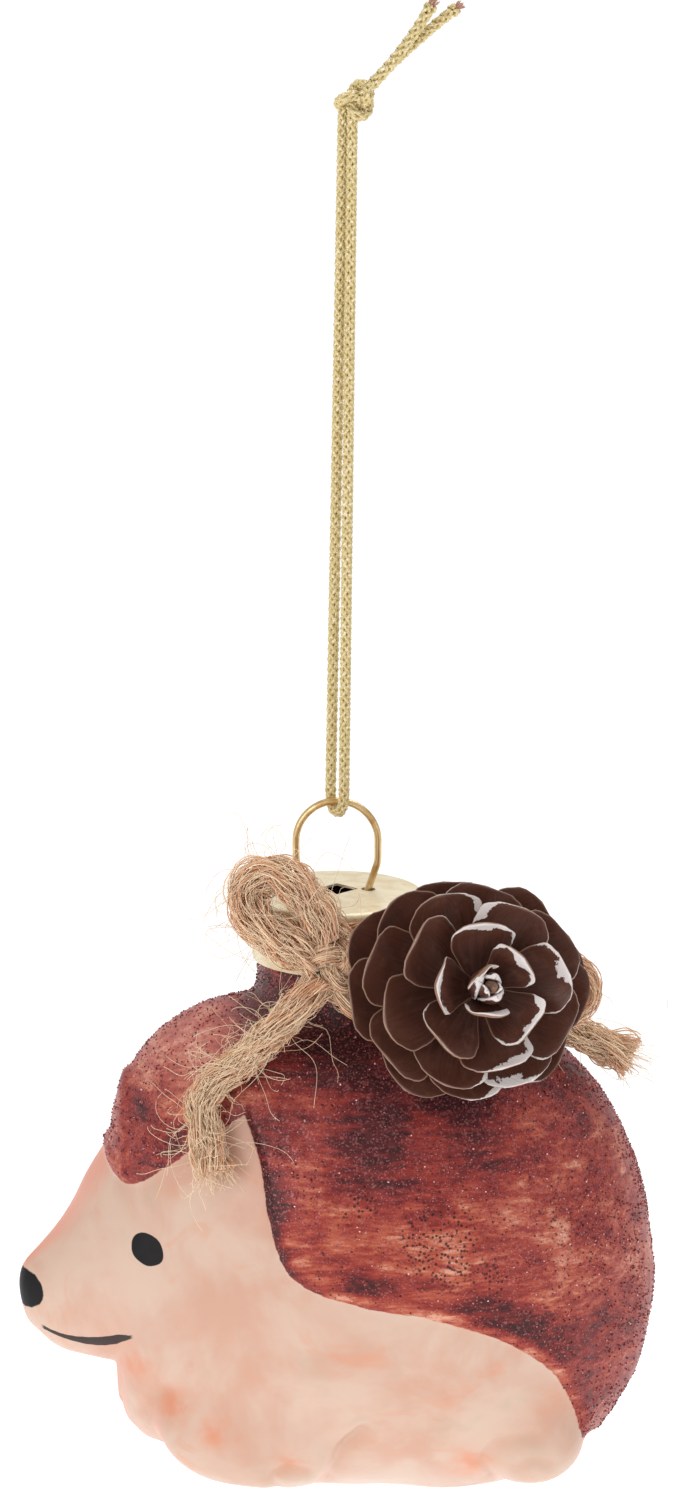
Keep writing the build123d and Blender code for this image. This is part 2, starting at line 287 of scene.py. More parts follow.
def carriedFrames(path, closed=False):
    # A side and an upright vector at each point, carried along the path without twist: any side vector
    # is taken first, and turned back by the sum of the turns between each one and the one before it.
    # On a closed path what is left at the seam is spread over the whole way round
    tangent = tangents(path, 0, closed)
    guess = unit(np.cross(tangent, np.array([0.31, 0.52, 0.79])))
    nextTangent, nextGuess = np.roll(tangent, -1, axis=0), np.roll(guess, -1, axis=0)
    axis = np.cross(tangent, nextTangent)
    cosine = np.sum(tangent * nextTangent, axis=1, keepdims=True)
    along = np.sum(axis * guess, axis=1, keepdims=True)
    carried = guess * cosine + np.cross(axis, guess) + axis * along / np.maximum(1 + cosine, 1e-6)
    sine = np.sum(np.cross(carried, nextGuess) * nextTangent, axis=1)
    turn = np.arctan2(sine, np.sum(carried * nextGuess, axis=1))
    twist = np.concatenate([[0], np.cumsum(turn[:-1])])
    if closed:
        seam = (twist[-1] + turn[-1] + np.pi) % fullTurn - np.pi
        twist = twist - seam * np.arange(len(path)) / len(path)
    side = guess * np.cos(twist)[:, None] - np.cross(tangent, guess) * np.sin(twist)[:, None]
    return tangent, side, np.cross(tangent, side)


def knotPath(middle, sizes, steps, tilt):
    # A cord tied on itself: x = sin t + 2 sin 2t, z = cos t - 2 cos 2t, y = -sin 3t, scaled to its sizes
    t = turnsOf(steps)
    line = np.stack([np.sin(t) + 2 * np.sin(2 * t), -np.sin(3 * t), np.cos(t) - 2 * np.cos(2 * t)], 1)
    line = turned(line / np.ptp(line, axis=0) * np.array(sizes), 0, 2, tilt)
    return line + np.array(middle), runAlong(np.concatenate([line, line[:1]]))


def rooted(path, at, source):
    # The way ahead at some points of a path, and for each a random way out across it
    tangent, side, up = carriedFrames(path)
    return tangent[at], crossways(side[at], up[at], source.uniform(0, fullTurn, len(at))[:, None])


def threadBundle(lines, radius, sides, closed=False):
    # Tubes round many lines at once: lines is (threads, steps, 3), and a ring of points stands round
    # each step, in the plane of its own side and upright vectors
    threads, steps = lines.shape[:2]
    tangent = tangents(lines, 1, closed)
    side = unit(np.cross(tangent, np.array([0.36, 0.48, 0.8])))
    up = np.cross(tangent, side)
    ring = crossways(side[:, :, None], up[:, :, None], turnsOf(sides)[:, None])
    points = lines[:, :, None] + ring * radius
    starts = np.arange(threads) * steps * sides
    quads = (ringFaces(steps, sides, closed, True)[None] + starts[:, None, None]).reshape(-1, 4).tolist()
    if not closed:
        first = np.arange(sides)[None] + starts[:, None]
        quads += first.tolist() + (first[:, ::-1] + (steps - 1) * sides).tolist()
    return points.reshape(-1, 3), quads


print("stage: helpers ready")

# Glass body
glass = {
    "torsoLength": 0.0753, "torsoHeight": 0.0706, "torsoWidth": 0.056,
    "headLength": 0.025, "headHeight": 0.04, "headWidth": 0.034, "headDrop": 0.0359,
    "neckRadius": 0.0112, "boreRadius": 0.0102, "neckRimZ": -0.1114, "neckFootZ": -0.1218, "neckEndZ": -0.14,
    "wall": 0.001, "blend": 0.003, "legBlend": 0.0039,
    "coatRelief": 0.0007, "lumpHeight": 0.00022, "lumpSize": 0.014, "brushHeight": 0.00009, "brushSize": 0.0026,
    "columns": 384, "rows": 190, "innerRows": 30,
    "heartX": -0.0055, "heartZ": -0.157, "nearest": 0.012, "furthest": 0.075,
}
# Stations along the torso: shares of its length, height and width, and of the height that its middle drops
torsoShares = np.array([
    (-0.420, 0.000, 0.000, 0.024), (-0.416, 0.470, 0.214, 0.046), (-0.404, 0.655, 0.339, 0.035),
    (-0.376, 0.757, 0.500, 0.0345), (-0.321, 0.853, 0.671, 0.017), (-0.262, 0.925, 0.786, 0.013),
    (-0.143, 1.005, 0.929, 0.011), (0.000, 1.018, 0.993, 0.009), (0.117, 1.020, 1.000, 0.013),
    (0.228, 1.000, 0.982, 0.0245), (0.332, 0.940, 0.900, 0.039), (0.422, 0.834, 0.768, 0.055),
    (0.481, 0.702, 0.625, 0.057), (0.526, 0.553, 0.482, 0.065), (0.560, 0.374, 0.321, 0.075),
    (0.579, 0.178, 0.161, 0.076), (0.586, 0.000, 0.000, 0.081),
])
# Stations along the head, from the tip of the nose
headShares = np.array([
    (-0.004, 0.000, 0.000, 0.185), (0.020, 0.175, 0.150, 0.196), (0.108, 0.315, 0.280, 0.198),
    (0.196, 0.430, 0.390, 0.186), (0.284, 0.540, 0.506, 0.154), (0.376, 0.658, 0.624, 0.108),
    (0.464, 0.757, 0.729, 0.071), (0.556, 0.850, 0.812, 0.035), (0.752, 0.975, 0.930, 0.012),
    (1.000, 1.000, 0.985, 0.000), (1.200, 0.900, 0.900, 0.000),
])
# Legs: full sizes, place along x, half spacing across and depth below the torso's top
legs = {
    "front": ((0.029, 0.016, 0.0180), -0.0105, 0.013, 0.0600),
    "hind": ((0.014, 0.0124, 0.0134), 0.0276, 0.0136, 0.0616),
}
# Lower edge of the coat from the side: shares of the torso's length and of its height below the top
tuftEdge = [(-0.452, 0.312), (-0.394, 0.356), (-0.325, 0.307), (-0.252, 0.241), (-0.170, 0.180)]
coatEdge = [
    (-0.141, 0.269), (-0.128, 0.361), (-0.088, 0.477), (0.051, 0.541), (0.169, 0.564),
    (0.311, 0.623), (0.405, 0.711), (0.445, 0.812), (0.466, 0.885), (0.531, 0.950),
]
# Creases pressed in on both sides, seen from the side: their line, depth and half width
creases = [
    ([(0.0040, -0.1835), (0.0010, -0.1870), (-0.0012, -0.1925)], 0.0012, 0.0014),
    ([(-0.0240, -0.1790), (-0.0262, -0.1812), (-0.0272, -0.1840)], 0.0006, 0.0012),
    ([(0.0222, -0.1925), (0.0212, -0.1885), (0.0238, -0.1855), (0.0280, -0.1846)], 0.0010, 0.0012),
    ([(0.0262, -0.1912), (0.0258, -0.1894), (0.0276, -0.1882), (0.0298, -0.1888)], 0.0006, 0.0009),
    ([(-0.0085, -0.1932), (-0.0092, -0.1910), (-0.0070, -0.1892), (-0.0045, -0.1898)], 0.0006, 0.0010),
]
# The tip of the nose stands a little over half the head's length before the front of the torso
noseX = glass["torsoLength"] * -0.416 - glass["headLength"] * 0.54
neckAt = np.array([place["neckX"], 0, 0])
heart = np.array([place["neckX"] + glass["heartX"], 0, glass["heartZ"]])


def smoothAlong(stations, values, x):
    # Cubic between stations, each slope the slope between its neighbours
    slopes = np.gradient(values, stations)
    low = np.clip(np.searchsorted(stations, x) - 1, 0, len(stations) - 2)
    span = stations[low + 1] - stations[low]
    t = np.clip((x - stations[low]) / span, 0, 1)
    a = (1 + 2 * t) * (1 - t) ** 2 * values[low] + t * (1 - t) ** 2 * span * slopes[low]
    b = t * t * (3 - 2 * t) * values[low + 1] - t * t * (1 - t) * span * slopes[low + 1]
    return a + b


def ovalField(p, stations, heights, widths, middles):
    # How far a point lies outside an oval that changes along x, measured from the oval's middle:
    # distance d less d / rho, where rho is 1 on the surface
    x = p[..., 0]
    inside = (x > stations[0]) & (x < stations[-1])
    tall, wide = [
        np.where(inside, np.maximum(smoothAlong(stations, sizes**2 / 4, x), 1e-10), 1e-10)
        for sizes in (heights, widths)
    ]
    z = p[..., 2] - smoothAlong(stations, middles, x)
    rho = np.sqrt(p[..., 1] ** 2 / wide + z**2 / tall)
    d = np.hypot(p[..., 1], z) + 1e-9
    beyond = np.maximum(stations[0] - x, x - stations[-1])
    return np.where(inside, d - d / np.maximum(rho, 1e-4), np.hypot(d, beyond))


def eggField(p, sizes, middle):
    q = p - np.array(middle)
    rho = np.sqrt(np.sum((q / (np.array(sizes) / 2)) ** 2, axis=-1))
    d = np.linalg.norm(q, axis=-1) + 1e-9
    return d - d / np.maximum(rho, 1e-4)


def joined(first, second, reach):  # the nearer of two fields, with a soft fillet where they meet
    share = np.clip(0.5 + 0.5 * (second - first) / reach, 0, 1)
    return second * (1 - share) + first * share - reach * share * (1 - share)


def glassField(p):
    local = p - neckAt
    top, height = place["torsoTopZ"], glass["torsoHeight"]
    torso = ovalField(
        local,
        torsoShares[:, 0] * glass["torsoLength"],
        torsoShares[:, 1] * height,
        torsoShares[:, 2] * glass["torsoWidth"],
        top - height * (0.5 + torsoShares[:, 3]),
    )
    head = ovalField(
        local,
        noseX + headShares[:, 0] * glass["headLength"],
        headShares[:, 1] * glass["headHeight"],
        headShares[:, 2] * glass["headWidth"],
        top - glass["headDrop"] - headShares[:, 3] * glass["headHeight"],
    )
    field = joined(torso, head, glass["blend"])
    for sizes, x, y, depth in legs.values():
        for side in (-1, 1):
            field = joined(field, eggField(local, sizes, (x, side * y, top - depth)), glass["legBlend"])
    neck = np.hypot(local[..., 0], local[..., 1]) - glass["neckRadius"]
    neck = np.where(local[..., 2] > glass["neckEndZ"], neck, neck + 0.02)
    return joined(field, neck, glass["blend"])


def castFromHeart(directions):
    # Distance from the heart of the body to its surface along each direction, by halving
    near = np.full(directions.shape[:-1], glass["nearest"])
    far = np.full(directions.shape[:-1], glass["furthest"])
    for _ in range(22):
        middle = (near + far) / 2
        outside = glassField(heart + directions * middle[..., None]) > 0
        far = np.where(outside, middle, far)
        near = np.where(outside, near, middle)
    return (near + far) / 2


def roundedLine(points, count):
    # A smooth line through points, by the distance along them
    points = np.array(points)
    run = runAlong(points)
    at = np.linspace(0, run[-1], count)
    return np.stack([smoothAlong(run, points[:, axis], at) for axis in range(points.shape[1])], 1)


def gapToLine(p, line):
    # Least distance from 2-D points to a broken line
    best = np.full(len(p), 1.0)
    for start, end in zip(line[:-1], line[1:]):
        run = end - start
        share = np.clip(((p - start) @ run) / max(run @ run, 1e-18), 0, 1)
        best = np.minimum(best, np.linalg.norm(p - start - share[:, None] * run, axis=1))
    return best


def creaseGaps(points):  # how far each point lies from each crease, seen from the side
    flat = (points - neckAt)[:, [0, 2]]
    return [gapToLine(flat, roundedLine(line, 24)) for line, _, _ in creases]


def coatDepths(points):
    # How far inside the coat a point lies, seen from the side: less than 0 on the bare glass
    edge = np.concatenate([roundedLine(tuftEdge, 30), roundedLine([tuftEdge[-1], *coatEdge], 60)])
    edge = edge * [glass["torsoLength"], -glass["torsoHeight"]] + [place["neckX"], place["torsoTopZ"]]
    p = points[:, [0, 2]]
    gap = gapToLine(p, edge)
    # the edge is closed far behind, above and in front of the body, and what lies within is coat
    over = np.concatenate([edge, [[0.2, edge[-1, 1]], [0.2, 0.1], [-0.2, 0.1], [-0.2, edge[0, 1]]]])
    inside = np.zeros(len(p), bool)
    for a, b in zip(over, np.roll(over, -1, axis=0)):
        crosses = (a[1] > p[:, 1]) != (b[1] > p[:, 1])
        slope = (b[0] - a[0]) / np.where(b[1] == a[1], 1e-12, b[1] - a[1])
        inside ^= crosses & (p[:, 0] < a[0] + (p[:, 1] - a[1]) * slope)
    return np.where(inside, gap, -gap)


def waves(points, size, seed):
    # Gentle unevenness: a mean of plane waves of about one size in random directions
    source = np.random.default_rng(seed)
    count = 14
    ways = unit(source.normal(size=(count, 3))) * 2 * np.pi / size * source.uniform(0.6, 1.5, (count, 1))
    return np.sin(points @ ways.T + source.uniform(0, 6.28, count)).mean(axis=1) * 2


def makeGlass():
    columns, rows = glass["columns"], glass["rows"]
    circle = circleOf(columns)
    # directions fan out from the ring at the neck's foot to straight down
    start = unit(neckAt + [0, 0, glass["neckFootZ"]] + circle * glass["neckRadius"] - heart)
    startTilt = np.arccos(start[:, 2])
    flat = unit(start * [1, 1, 0])
    share = np.linspace(0, 1, rows + 1)[:-1, None]
    tilt = startTilt + (np.pi - startTilt) * share
    ways = flat[None] * np.sin(tilt)[..., None] + np.array([0, 0, 1]) * np.cos(tilt)[..., None]
    reach = castFromHeart(ways)
    outer = heart + ways * reach[..., None]
    # the coat stands out a little, the glass is uneven, and the creases are pressed in
    skin = outer.reshape(-1, 3)
    depth = coatDepths(skin)
    lift = glass["coatRelief"] * inward(-0.0002, 0.0011, depth)
    lift += glass["lumpHeight"] * waves(skin, glass["lumpSize"], 3)
    lift += glass["brushHeight"] * waves(skin * [1.7, 1.7, 0.5], glass["brushSize"], 5) * inward(0, 0.001, depth)
    for gap, (_, deep, wide) in zip(creaseGaps(skin), creases):
        lift -= deep * np.exp(-((gap / wide) ** 2))
    outer = outer + ways * (lift.reshape(reach.shape) * inward(0, 0.12, share))[..., None]
    # the inner wall follows the outer one a wall's thickness inside it
    picked = np.linspace(0, rows - 1, glass["innerRows"]).astype(int)
    inner = heart + ways[picked] * (reach[picked] - glass["wall"] * 1.3)[..., None]
    inner[0, :, :2] = circle[:, :2] * glass["boreRadius"] + neckAt[:2]
    # the neck's rim is rounded between its bore and its outside
    lip = (glass["neckRadius"] - glass["boreRadius"]) / 2
    middle = glass["boreRadius"] + lip
    rimZ = glass["neckRimZ"] - lip
    profile = [(glass["boreRadius"], rimZ - 0.004)]
    profile += [(middle + lip * math.cos(a), rimZ + lip * math.sin(a)) for a in np.linspace(np.pi, 0, 7)]
    profile += [(glass["neckRadius"], z) for z in np.linspace(rimZ, glass["neckFootZ"], 7)[1:-1]]
    neckRows = np.array([circle * r + neckAt + [0, 0, z] for r, z in profile])
    grid = np.concatenate([inner[::-1], neckRows, outer])
    count = grid.shape[0] * columns
    points = np.concatenate([grid.reshape(-1, 3), inner[-1].mean(axis=0)[None], outer[-1].mean(axis=0)[None]])
    column = np.arange(columns)
    following = (column + 1) % columns
    last = count - columns
    faces = ringFaces(grid.shape[0], columns, flip=True).tolist()
    faces += np.stack([following, np.full(columns, count), column], 1).tolist()
    faces += np.stack([last + column, np.full(columns, count + 1), last + following], 1).tolist()
    return points, faces


glassPoints, glassFaces = makeGlass()
print("stage: glass body worked out,", len(glassFaces), "faces")

# Painted face: the eye and nose from the neck's axis, the mouth's middle from the hang point, and where the
# mouth's line swells and ends on each side of that middle
facePaint = {
    "eyeX": -0.0266, "eyeZ": -0.1580, "eyeRadius": 0.0023,
    "noseX": -0.0432, "noseZ": -0.1680, "noseSize": (0.0021, 0.0090, 0.0027),
    "mouthX": -0.0383, "mouthZ": -0.1742, "mouthBend": 36.7, "mouthHalf": 0.00085,
    "swell": ((-0.0040, 0.0045), (0.0080, 0.0055)), "ends": ((-0.0052, -0.0046), (0.0082, 0.0076)),
    "edge": 0.00006, "noseEdge": 0.00008,
}
# Touches on both sides: place along the body, height and reach. Most are touches of the painter's brush; some stand for
# painted light, a painted highlight and painted shade
paintTouches = {
    # thin paint, and a painted pool of light on the front of the flank
    "thinPaint": [
        (0.002, -0.1575, 0.010), (0.014, -0.1600, 0.009), (-0.004, -0.1500, 0.008), (-0.003, -0.1385, 0.005),
    ],
    # a painted highlight on the back of the head
    "palePaint": [(-0.0200, -0.1290, 0.0075), (-0.0265, -0.1325, 0.0035)],
    "specks": [(0.0148, -0.1535, 0.0062), (0.0035, -0.1490, 0.0032), (0.0215, -0.1590, 0.0032)],
    # dark patches of paint, and painted shade under the cone and the twine
    "darkPaint": [
        (0.0045, -0.1385, 0.0080), (0.0160, -0.1345, 0.0070), (0.0010, -0.1290, 0.0060), (-0.0085, -0.1480, 0.0030),
        (-0.0105, -0.1240, 0.0036), (-0.0222, -0.1440, 0.0036), (-0.0275, -0.1395, 0.0018),
    ],
    "blushSpot": [
        (-0.0230, -0.1810, 0.0028), (-0.0178, -0.1838, 0.0022), (0.0185, -0.1895, 0.0026),
        (-0.0290, -0.1760, 0.0026), (-0.0065, -0.1875, 0.0018),
    ],
    "greySpot": [(-0.0095, -0.1905, 0.0036), (0.0270, -0.1880, 0.0030)],
}
# Stretches of the coat along the body: where each begins and ends, with the width of its soft ends
coatStretches = {
    "frontHem": ((-0.0215, -0.0165), (0.001, -0.006)),
    "lowBand": ((-0.006, 0.004), (0.040, 0.026)),
}


def glassNotes(points):
    local = points - neckAt
    x, y, z = local.T
    eye = np.hypot(x - facePaint["eyeX"], z - facePaint["eyeZ"])
    wobble = 0.00012 * waves(points, 0.003, 9)
    nose = (local - [facePaint["noseX"], 0, facePaint["noseZ"]]) / facePaint["noseSize"]
    nose[:, 0] = np.maximum(nose[:, 0], 0)
    touches = {}
    for note, spots in paintTouches.items():
        near = [np.exp(-((x - sx) ** 2 + (z - sz) ** 2) / reach**2) for sx, sz, reach in spots]
        touches[note] = np.max(near, axis=0)
    gaps = [gap / (wide * 1.2) for gap, (_, _, wide) in zip(creaseGaps(points), creases)]
    return {
        **touches,
        **{note: inward(*rise, x) * inward(*fall, x) for note, (rise, fall) in coatStretches.items()},
        # where the creases get painted shade
        "crease": np.exp(-np.min(gaps, axis=0) ** 2) * inward(0.002, 0.008, np.abs(y)),
        # painted shade near the top, under the bow and the cone
        "nearTop": inward(0.030, 0.012, np.hypot(x - 0.006, y)) * inward(-0.140, -0.128, z),
        # thicker glitter towards the top and the rear, which also carries a painted sheen
        "crust": inward(-0.175, -0.135, z) * 0.7 + inward(0.018, 0.040, x) * 0.5,
        "coatDepth": coatDepths(points),
        "eyeGap": facePaint["eyeRadius"] - eye + wobble - 0.02 * (1 - inward(-0.018, -0.024, x)),
        "noseGap": (1 - np.linalg.norm(nose, axis=1)) * 0.002 + wobble,
    }


coatColours = {
    "brushed": [
        (0.0, tint(44, 10, 14)), (0.22, tint(84, 20, 22)), (0.42, tint(132, 38, 32)),
        (0.6, tint(158, 56, 42)), (0.78, tint(186, 94, 68)), (1.0, tint(220, 158, 132)),
    ],
    "grains": (tint(92, 30, 40), tint(206, 132, 128)),
    # the pale colour is a painted highlight, and the glitter sheen colour is a painted sheen
    "pale": tint(212, 144, 136), "glitterSheen": tint(158, 96, 104), "specks": tint(44, 14, 16), "sheen": tint(190, 160, 190),
}
creamColours = {
    "clouds": (tint(213, 183, 164), tint(207, 161, 139)),
    "smears": tint(216, 152, 120), "stains": tint(190, 172, 148), "spots": tint(222, 126, 80),
    # the crease colour is painted shade; the blush colour is airbrushed peach and a painted glow at the edges
    "creases": tint(206, 146, 116), "grey": tint(176, 152, 128), "blushAndEdgeGlow": tint(234, 134, 104),
}
inkColours = (tint(8, 7, 9), tint(28, 25, 29))


def coatSkin(f, spot, depth):
    # Translucent brick red brushed over salmon, thin in places, with dark patches. Some of the light places are painted
    # light and a painted highlight, and some of the dark patches are painted shade under the cone and the twine
    brushed = f.stretched(spot, (0.2, 0.5, 1.0), (0.0, 0.24, 0.0))
    strokes = f.noise(brushed, 1500, 5, 0.62, 0.5)
    swept = f.noise(brushed, 330, 4, 0.6, 0.8)
    patches = f.noise(spot, 85, 4, 0.6, 0.6)
    broad = f.noise(spot, 38, 2, 0.5)
    lowBand = f.band(depth, (0.0008, 0.0026), (0.0080, 0.0045)) * f.noted("lowBand")
    hem = f.between(depth, 0.0022, 0.0004) * (f.noted("frontHem") * 0.42 - 0.08)
    level = (strokes - 0.5) * 1.0 + (swept - 0.5) * 1.3 + (patches - 0.5) * 1.0 + (broad - 0.5) * 0.9
    # painted light where the paint is thin in front, painted shade near the top under the bow and the cone, and dark
    # patches that are partly painted shade
    level = level + 0.57 + f.noted("thinPaint") * 0.22 - f.noted("nearTop") * 0.18 - lowBand * 0.46
    level = level - f.noted("darkPaint") * 0.5 + f.noted("palePaint") * 0.24 - hem
    # a crust of fine glitter: pale and dark grains a fifth of a millimetre wide
    grains = f.cells(spot, 4600, "Color")
    grainLevel = f.channel(grains, 0)
    crust = f.between(grainLevel - (0.84 - f.noted("crust") * 0.3 - (patches - 0.5) * 0.2), 0.0, 0.05)
    # black specks, each in one cell of a net, where they are noted
    dots = f.between(f.cells(spot, 1750), 0.44, 0.32) * f.between(f.channel(f.cells(spot, 1750, "Color"), 0), 0.3, 0.36)
    dusk = dots * f.between(f.noted("specks") + (patches - 0.5) * 0.9, 0.3, 0.6)
    brick = f.layered(
        f.ramp(level, coatColours["brushed"]),
        (crust * 0.45, f.mix(f.channel(grains, 1), *coatColours["grains"])),
        # a pale painted highlight on the back of the head
        (f.noted("palePaint") * 0.4, coatColours["pale"]),
        # a pinkish grey painted sheen of the glitter
        (f.noted("crust") * 0.08, coatColours["glitterSheen"]),
        (dusk * 0.85, coatColours["specks"]),
    )
    height = strokes * 0.35 + grainLevel * f.between(grainLevel, 0.3, 1.0) * 0.8 + swept * 0.3
    return f.skin(
        Base_Color=brick, Roughness=0.4 + (strokes - 0.5) * 0.3, Metallic=crust * 0.5,
        Normal=f.bump(height, 0.0003, 0.55),
        Coat_Weight=0.05, Coat_Roughness=0.2, Specular_IOR_Level=0.28,
        Sheen_Weight=0.04, Sheen_Roughness=0.4, Sheen_Tint=coatColours["sheen"],
    )


def creamSkin(f, spot):
    # Cream pearl paint with airbrushed peach, stronger along the middle line, where it is also a painted glow at the
    # edges; the creases get painted shade
    turning = {"vector_type": "NORMAL", "convert_from": "WORLD", "convert_to": "OBJECT"}
    facing = f.add("ShaderNodeNewGeometry", None, {}, "Normal")
    facing = f.add("ShaderNodeVectorTransform", turning, {"Vector": facing})
    clouds = f.noise(spot, 60, 4, 0.6, 0.5)
    smears = f.noise(f.stretched(spot, (0.6, 1.0, 1.0)), 150, 3, 0.6, 0.8)
    stains = f.between(f.noise(spot, 105, 3, 0.6), 0.6, 0.74)
    dabbed = f.between(f.noise(spot, 260, 3, 0.5), 0.22, 0.6)
    # where the surface faces away from the sides, less underneath: airbrushed peach, and a painted glow at the edges
    upward = 1 - f.between(f.along(facing, "Z") * -1, 0.7, 0.95) * 0.7
    blushAndEdgeGlow = upward * f.between(abs(f.along(facing, "Y")) + (clouds - 0.5) * 0.3, 0.52, 0.08)
    cream = f.layered(
        f.mix(f.between(clouds, 0.36, 0.64), *creamColours["clouds"]),
        (f.between(smears, 0.54, 0.72) * 0.5, creamColours["smears"]),
        (stains * 0.35, creamColours["stains"]),
        (f.noted("blushSpot") * dabbed * 0.75, creamColours["spots"]),
        # painted shade in the creases
        (f.noted("crease") * 0.35, creamColours["creases"]),
        (f.noted("greySpot") * dabbed * 0.25, creamColours["grey"]),
        # airbrushed peach with a painted glow at the edges
        (blushAndEdgeGlow * 0.62, creamColours["blushAndEdgeGlow"]),
    )
    return f.skin(
        Base_Color=cream, Roughness=f.between(clouds, 0.2, 0.8) * 0.1 + 0.36, Normal=f.bump(smears, 0.0002, 0.3),
        Coat_Weight=0.15, Coat_Roughness=0.25, Subsurface_Weight=0.12, Subsurface_Radius=(0.004, 0.002, 0.001),
    )


def faceShare(f, spot):
    # Where the ink lies: eyes, nose, and a mouth line z = bend x^2 that swells and tapers
    x = f.along(spot, "X") - facePaint["mouthX"]
    z = f.along(spot, "Z") - facePaint["mouthZ"]
    offLine = abs(z - x * x * facePaint["mouthBend"])
    swell = f.band(x, *facePaint["swell"]) * 0.65 + 0.35
    ends = f.band(x, *facePaint["ends"])
    wavy = (f.noise(spot, 900, 2, 0.5) - 0.5) * 0.0002
    edge, noseEdge = facePaint["edge"], facePaint["noseEdge"]
    mouth = f.between(swell * facePaint["mouthHalf"] - offLine + wavy, -edge, edge) * ends
    eyes = f.between(f.noted("eyeGap"), -edge, edge)
    return eyes.most(f.between(f.noted("noseGap"), -noseEdge, noseEdge)).most(mouth * 0.94)


def paintGlass():
    f = Finish("painted glass")
    spot, depth = f.spot(), f.noted("coatDepth")
    frayed = f.noise(f.stretched(spot, (0.5, 0.5, 1)), 900, 3, 0.6)
    coated = f.between(depth + (frayed - 0.5) * 0.0006, -0.00008, 0.00012)
    ink = f.mix(f.noise(spot, 400, 3, 0.5), *inkColours)
    inkSkin = f.skin(Base_Color=ink, Roughness=0.5, Specular_IOR_Level=0.2)
    both = f.mixSkins(coated, creamSkin(f, spot), coatSkin(f, spot, depth))
    return f.done(f.mixSkins(faceShare(f, spot), both, inkSkin))


meshPiece(
    "glassBody", glassPoints, glassFaces, paintGlass(),
    "glass", "painted_glass", ["glass_body"], glassNotes(glassPoints),
)

# Glitter: small eight-sided grains that stand in the coat, thickest over the back
glitter = {
    "grains": 12000, "least": 0.00008, "most": 0.00019, "fromEdge": 0.0003, "topZ": -0.1185, "everywhere": 0.35,
    "colours": [
        (0.0, tint(64, 18, 22)), (0.3, tint(130, 44, 46)), (0.62, tint(172, 84, 84)),
        (0.9, tint(206, 124, 122)), (1.0, tint(248, 210, 206)),
    ],
}


def paintGlitter():
    f = Finish("glitter")
    shade = f.noted("shade")
    return f.done(f.skin(Base_Color=f.ramp(shade, glitter["colours"]), Roughness=0.35, Metallic=shade * 0.5))


def makeGlitter():
    # Each grain is an octahedron: its middle plus and minus three vectors across each other
    source = np.random.default_rng(31)
    count = glitter["grains"]
    corners = glassPoints[np.array([face for face in glassFaces if len(face) == 4])]
    middle = corners.mean(axis=1)
    normal = np.cross(corners[:, 2] - corners[:, 0], corners[:, 3] - corners[:, 1])
    x, _, z = (middle - neckAt).T
    margin = glitter["fromEdge"]
    onCoat = (glassField(middle) > -margin) & (coatDepths(middle) > margin) & (z < glitter["topZ"])
    weight = np.linalg.norm(normal, axis=1) * onCoat
    weight = weight * (glitter["everywhere"] + inward(-0.180, -0.130, z) + inward(0.015, 0.04, x))
    weight = weight * np.clip(1 + 1.2 * waves(middle, 0.012, 12), 0.15, 3)
    picked = source.choice(len(corners), count, p=weight / weight.sum())
    a, b = source.uniform(0, 1, (2, count, 1))
    at = corners[picked]
    spot = (at[:, 0] * (1 - a) + at[:, 1] * a) * (1 - b) + (at[:, 3] * (1 - a) + at[:, 2] * a) * b
    out = unit(normal)[picked]
    out = out * np.sign(np.sum(out * (spot - heart), axis=1))[:, None]
    size = source.uniform(glitter["least"], glitter["most"], (count, 1))
    first = unit(source.normal(size=(count, 3)))
    second = unit(np.cross(first, source.normal(size=(count, 3))))
    third = np.cross(first, second)
    spot = spot + out * size * 0.4
    grid = np.stack([spot + size * way for way in (first, second, -first, -second, third, -third)], 1)
    base = np.array([[0, 1, 4], [1, 2, 4], [2, 3, 4], [3, 0, 4], [1, 0, 5], [2, 1, 5], [3, 2, 5], [0, 3, 5]])
    faces = (base[None] + (np.arange(count) * 6)[:, None, None]).reshape(-1, 3).tolist()
    shade = {"shade": np.repeat(source.uniform(0, 1, count) ** 1.4, 6)}
    piece = meshPiece("glitterGrains", grid, faces, paintGlitter(), "glass", "painted_glass", (), shade)
    piece.data.polygons.foreach_set("use_smooth", [False] * len(faces))


makeGlitter()
print("stage: glass body painted")

# Pine cone: scales in a golden-angle spiral, numbered from the tip. The first and last roots are shares of
# the cone's depth from its tip, and the ball that a scale is bent on has its length times hollow as radius
cone = {
    "base": (0.0153, -0.0168, -0.1201), "yaw": 13.0, "pitch": 17.0,
    "radius": 0.0169, "oval": 0.06, "depth": 0.020,
    "scales": 30, "firstAzimuth": 126.0, "goldenAngle": 137.508, "width": 0.0114, "thickness": 0.0006,
    "axisBase": 0.0026, "axisTip": 0.0009, "rootWidth": 0.0026, "rows": 26, "around": 36,
    "firstRoot": 0.21, "lastRoot": 0.95, "outerTilt": 6, "innerTilt": 68, "tiltPace": 8, "hollow": 1.45,
    "reachGrowth": (1.2, 7.5), "widthGrowth": (3.4, 5.5),
    "ripple": 0.00022, "edgeWave": 0.03, "snow": 0.0021,
    "budLayers": 5, "budRadius": 0.0011, "budHeight": 0.0062, "budDrop": 0.0016,
    # the tips colour is lighter and warmer, and with it the wood darkens towards each scale's root as painted shade
    "wood": (tint(40, 17, 13), tint(86, 48, 37)), "tips": tint(112, 68, 52), "mottle": tint(136, 94, 74),
    "backs": tint(140, 98, 72), "edges": tint(158, 120, 98), "snowPaint": tint(232, 224, 222),
}
# Outline of a scale: share of its length, share of its width
scaleOutline = [(0.28, 0.33), (0.64, 0.5), (0.89, 0.41), (0.975, 0.2), (1, 0)]
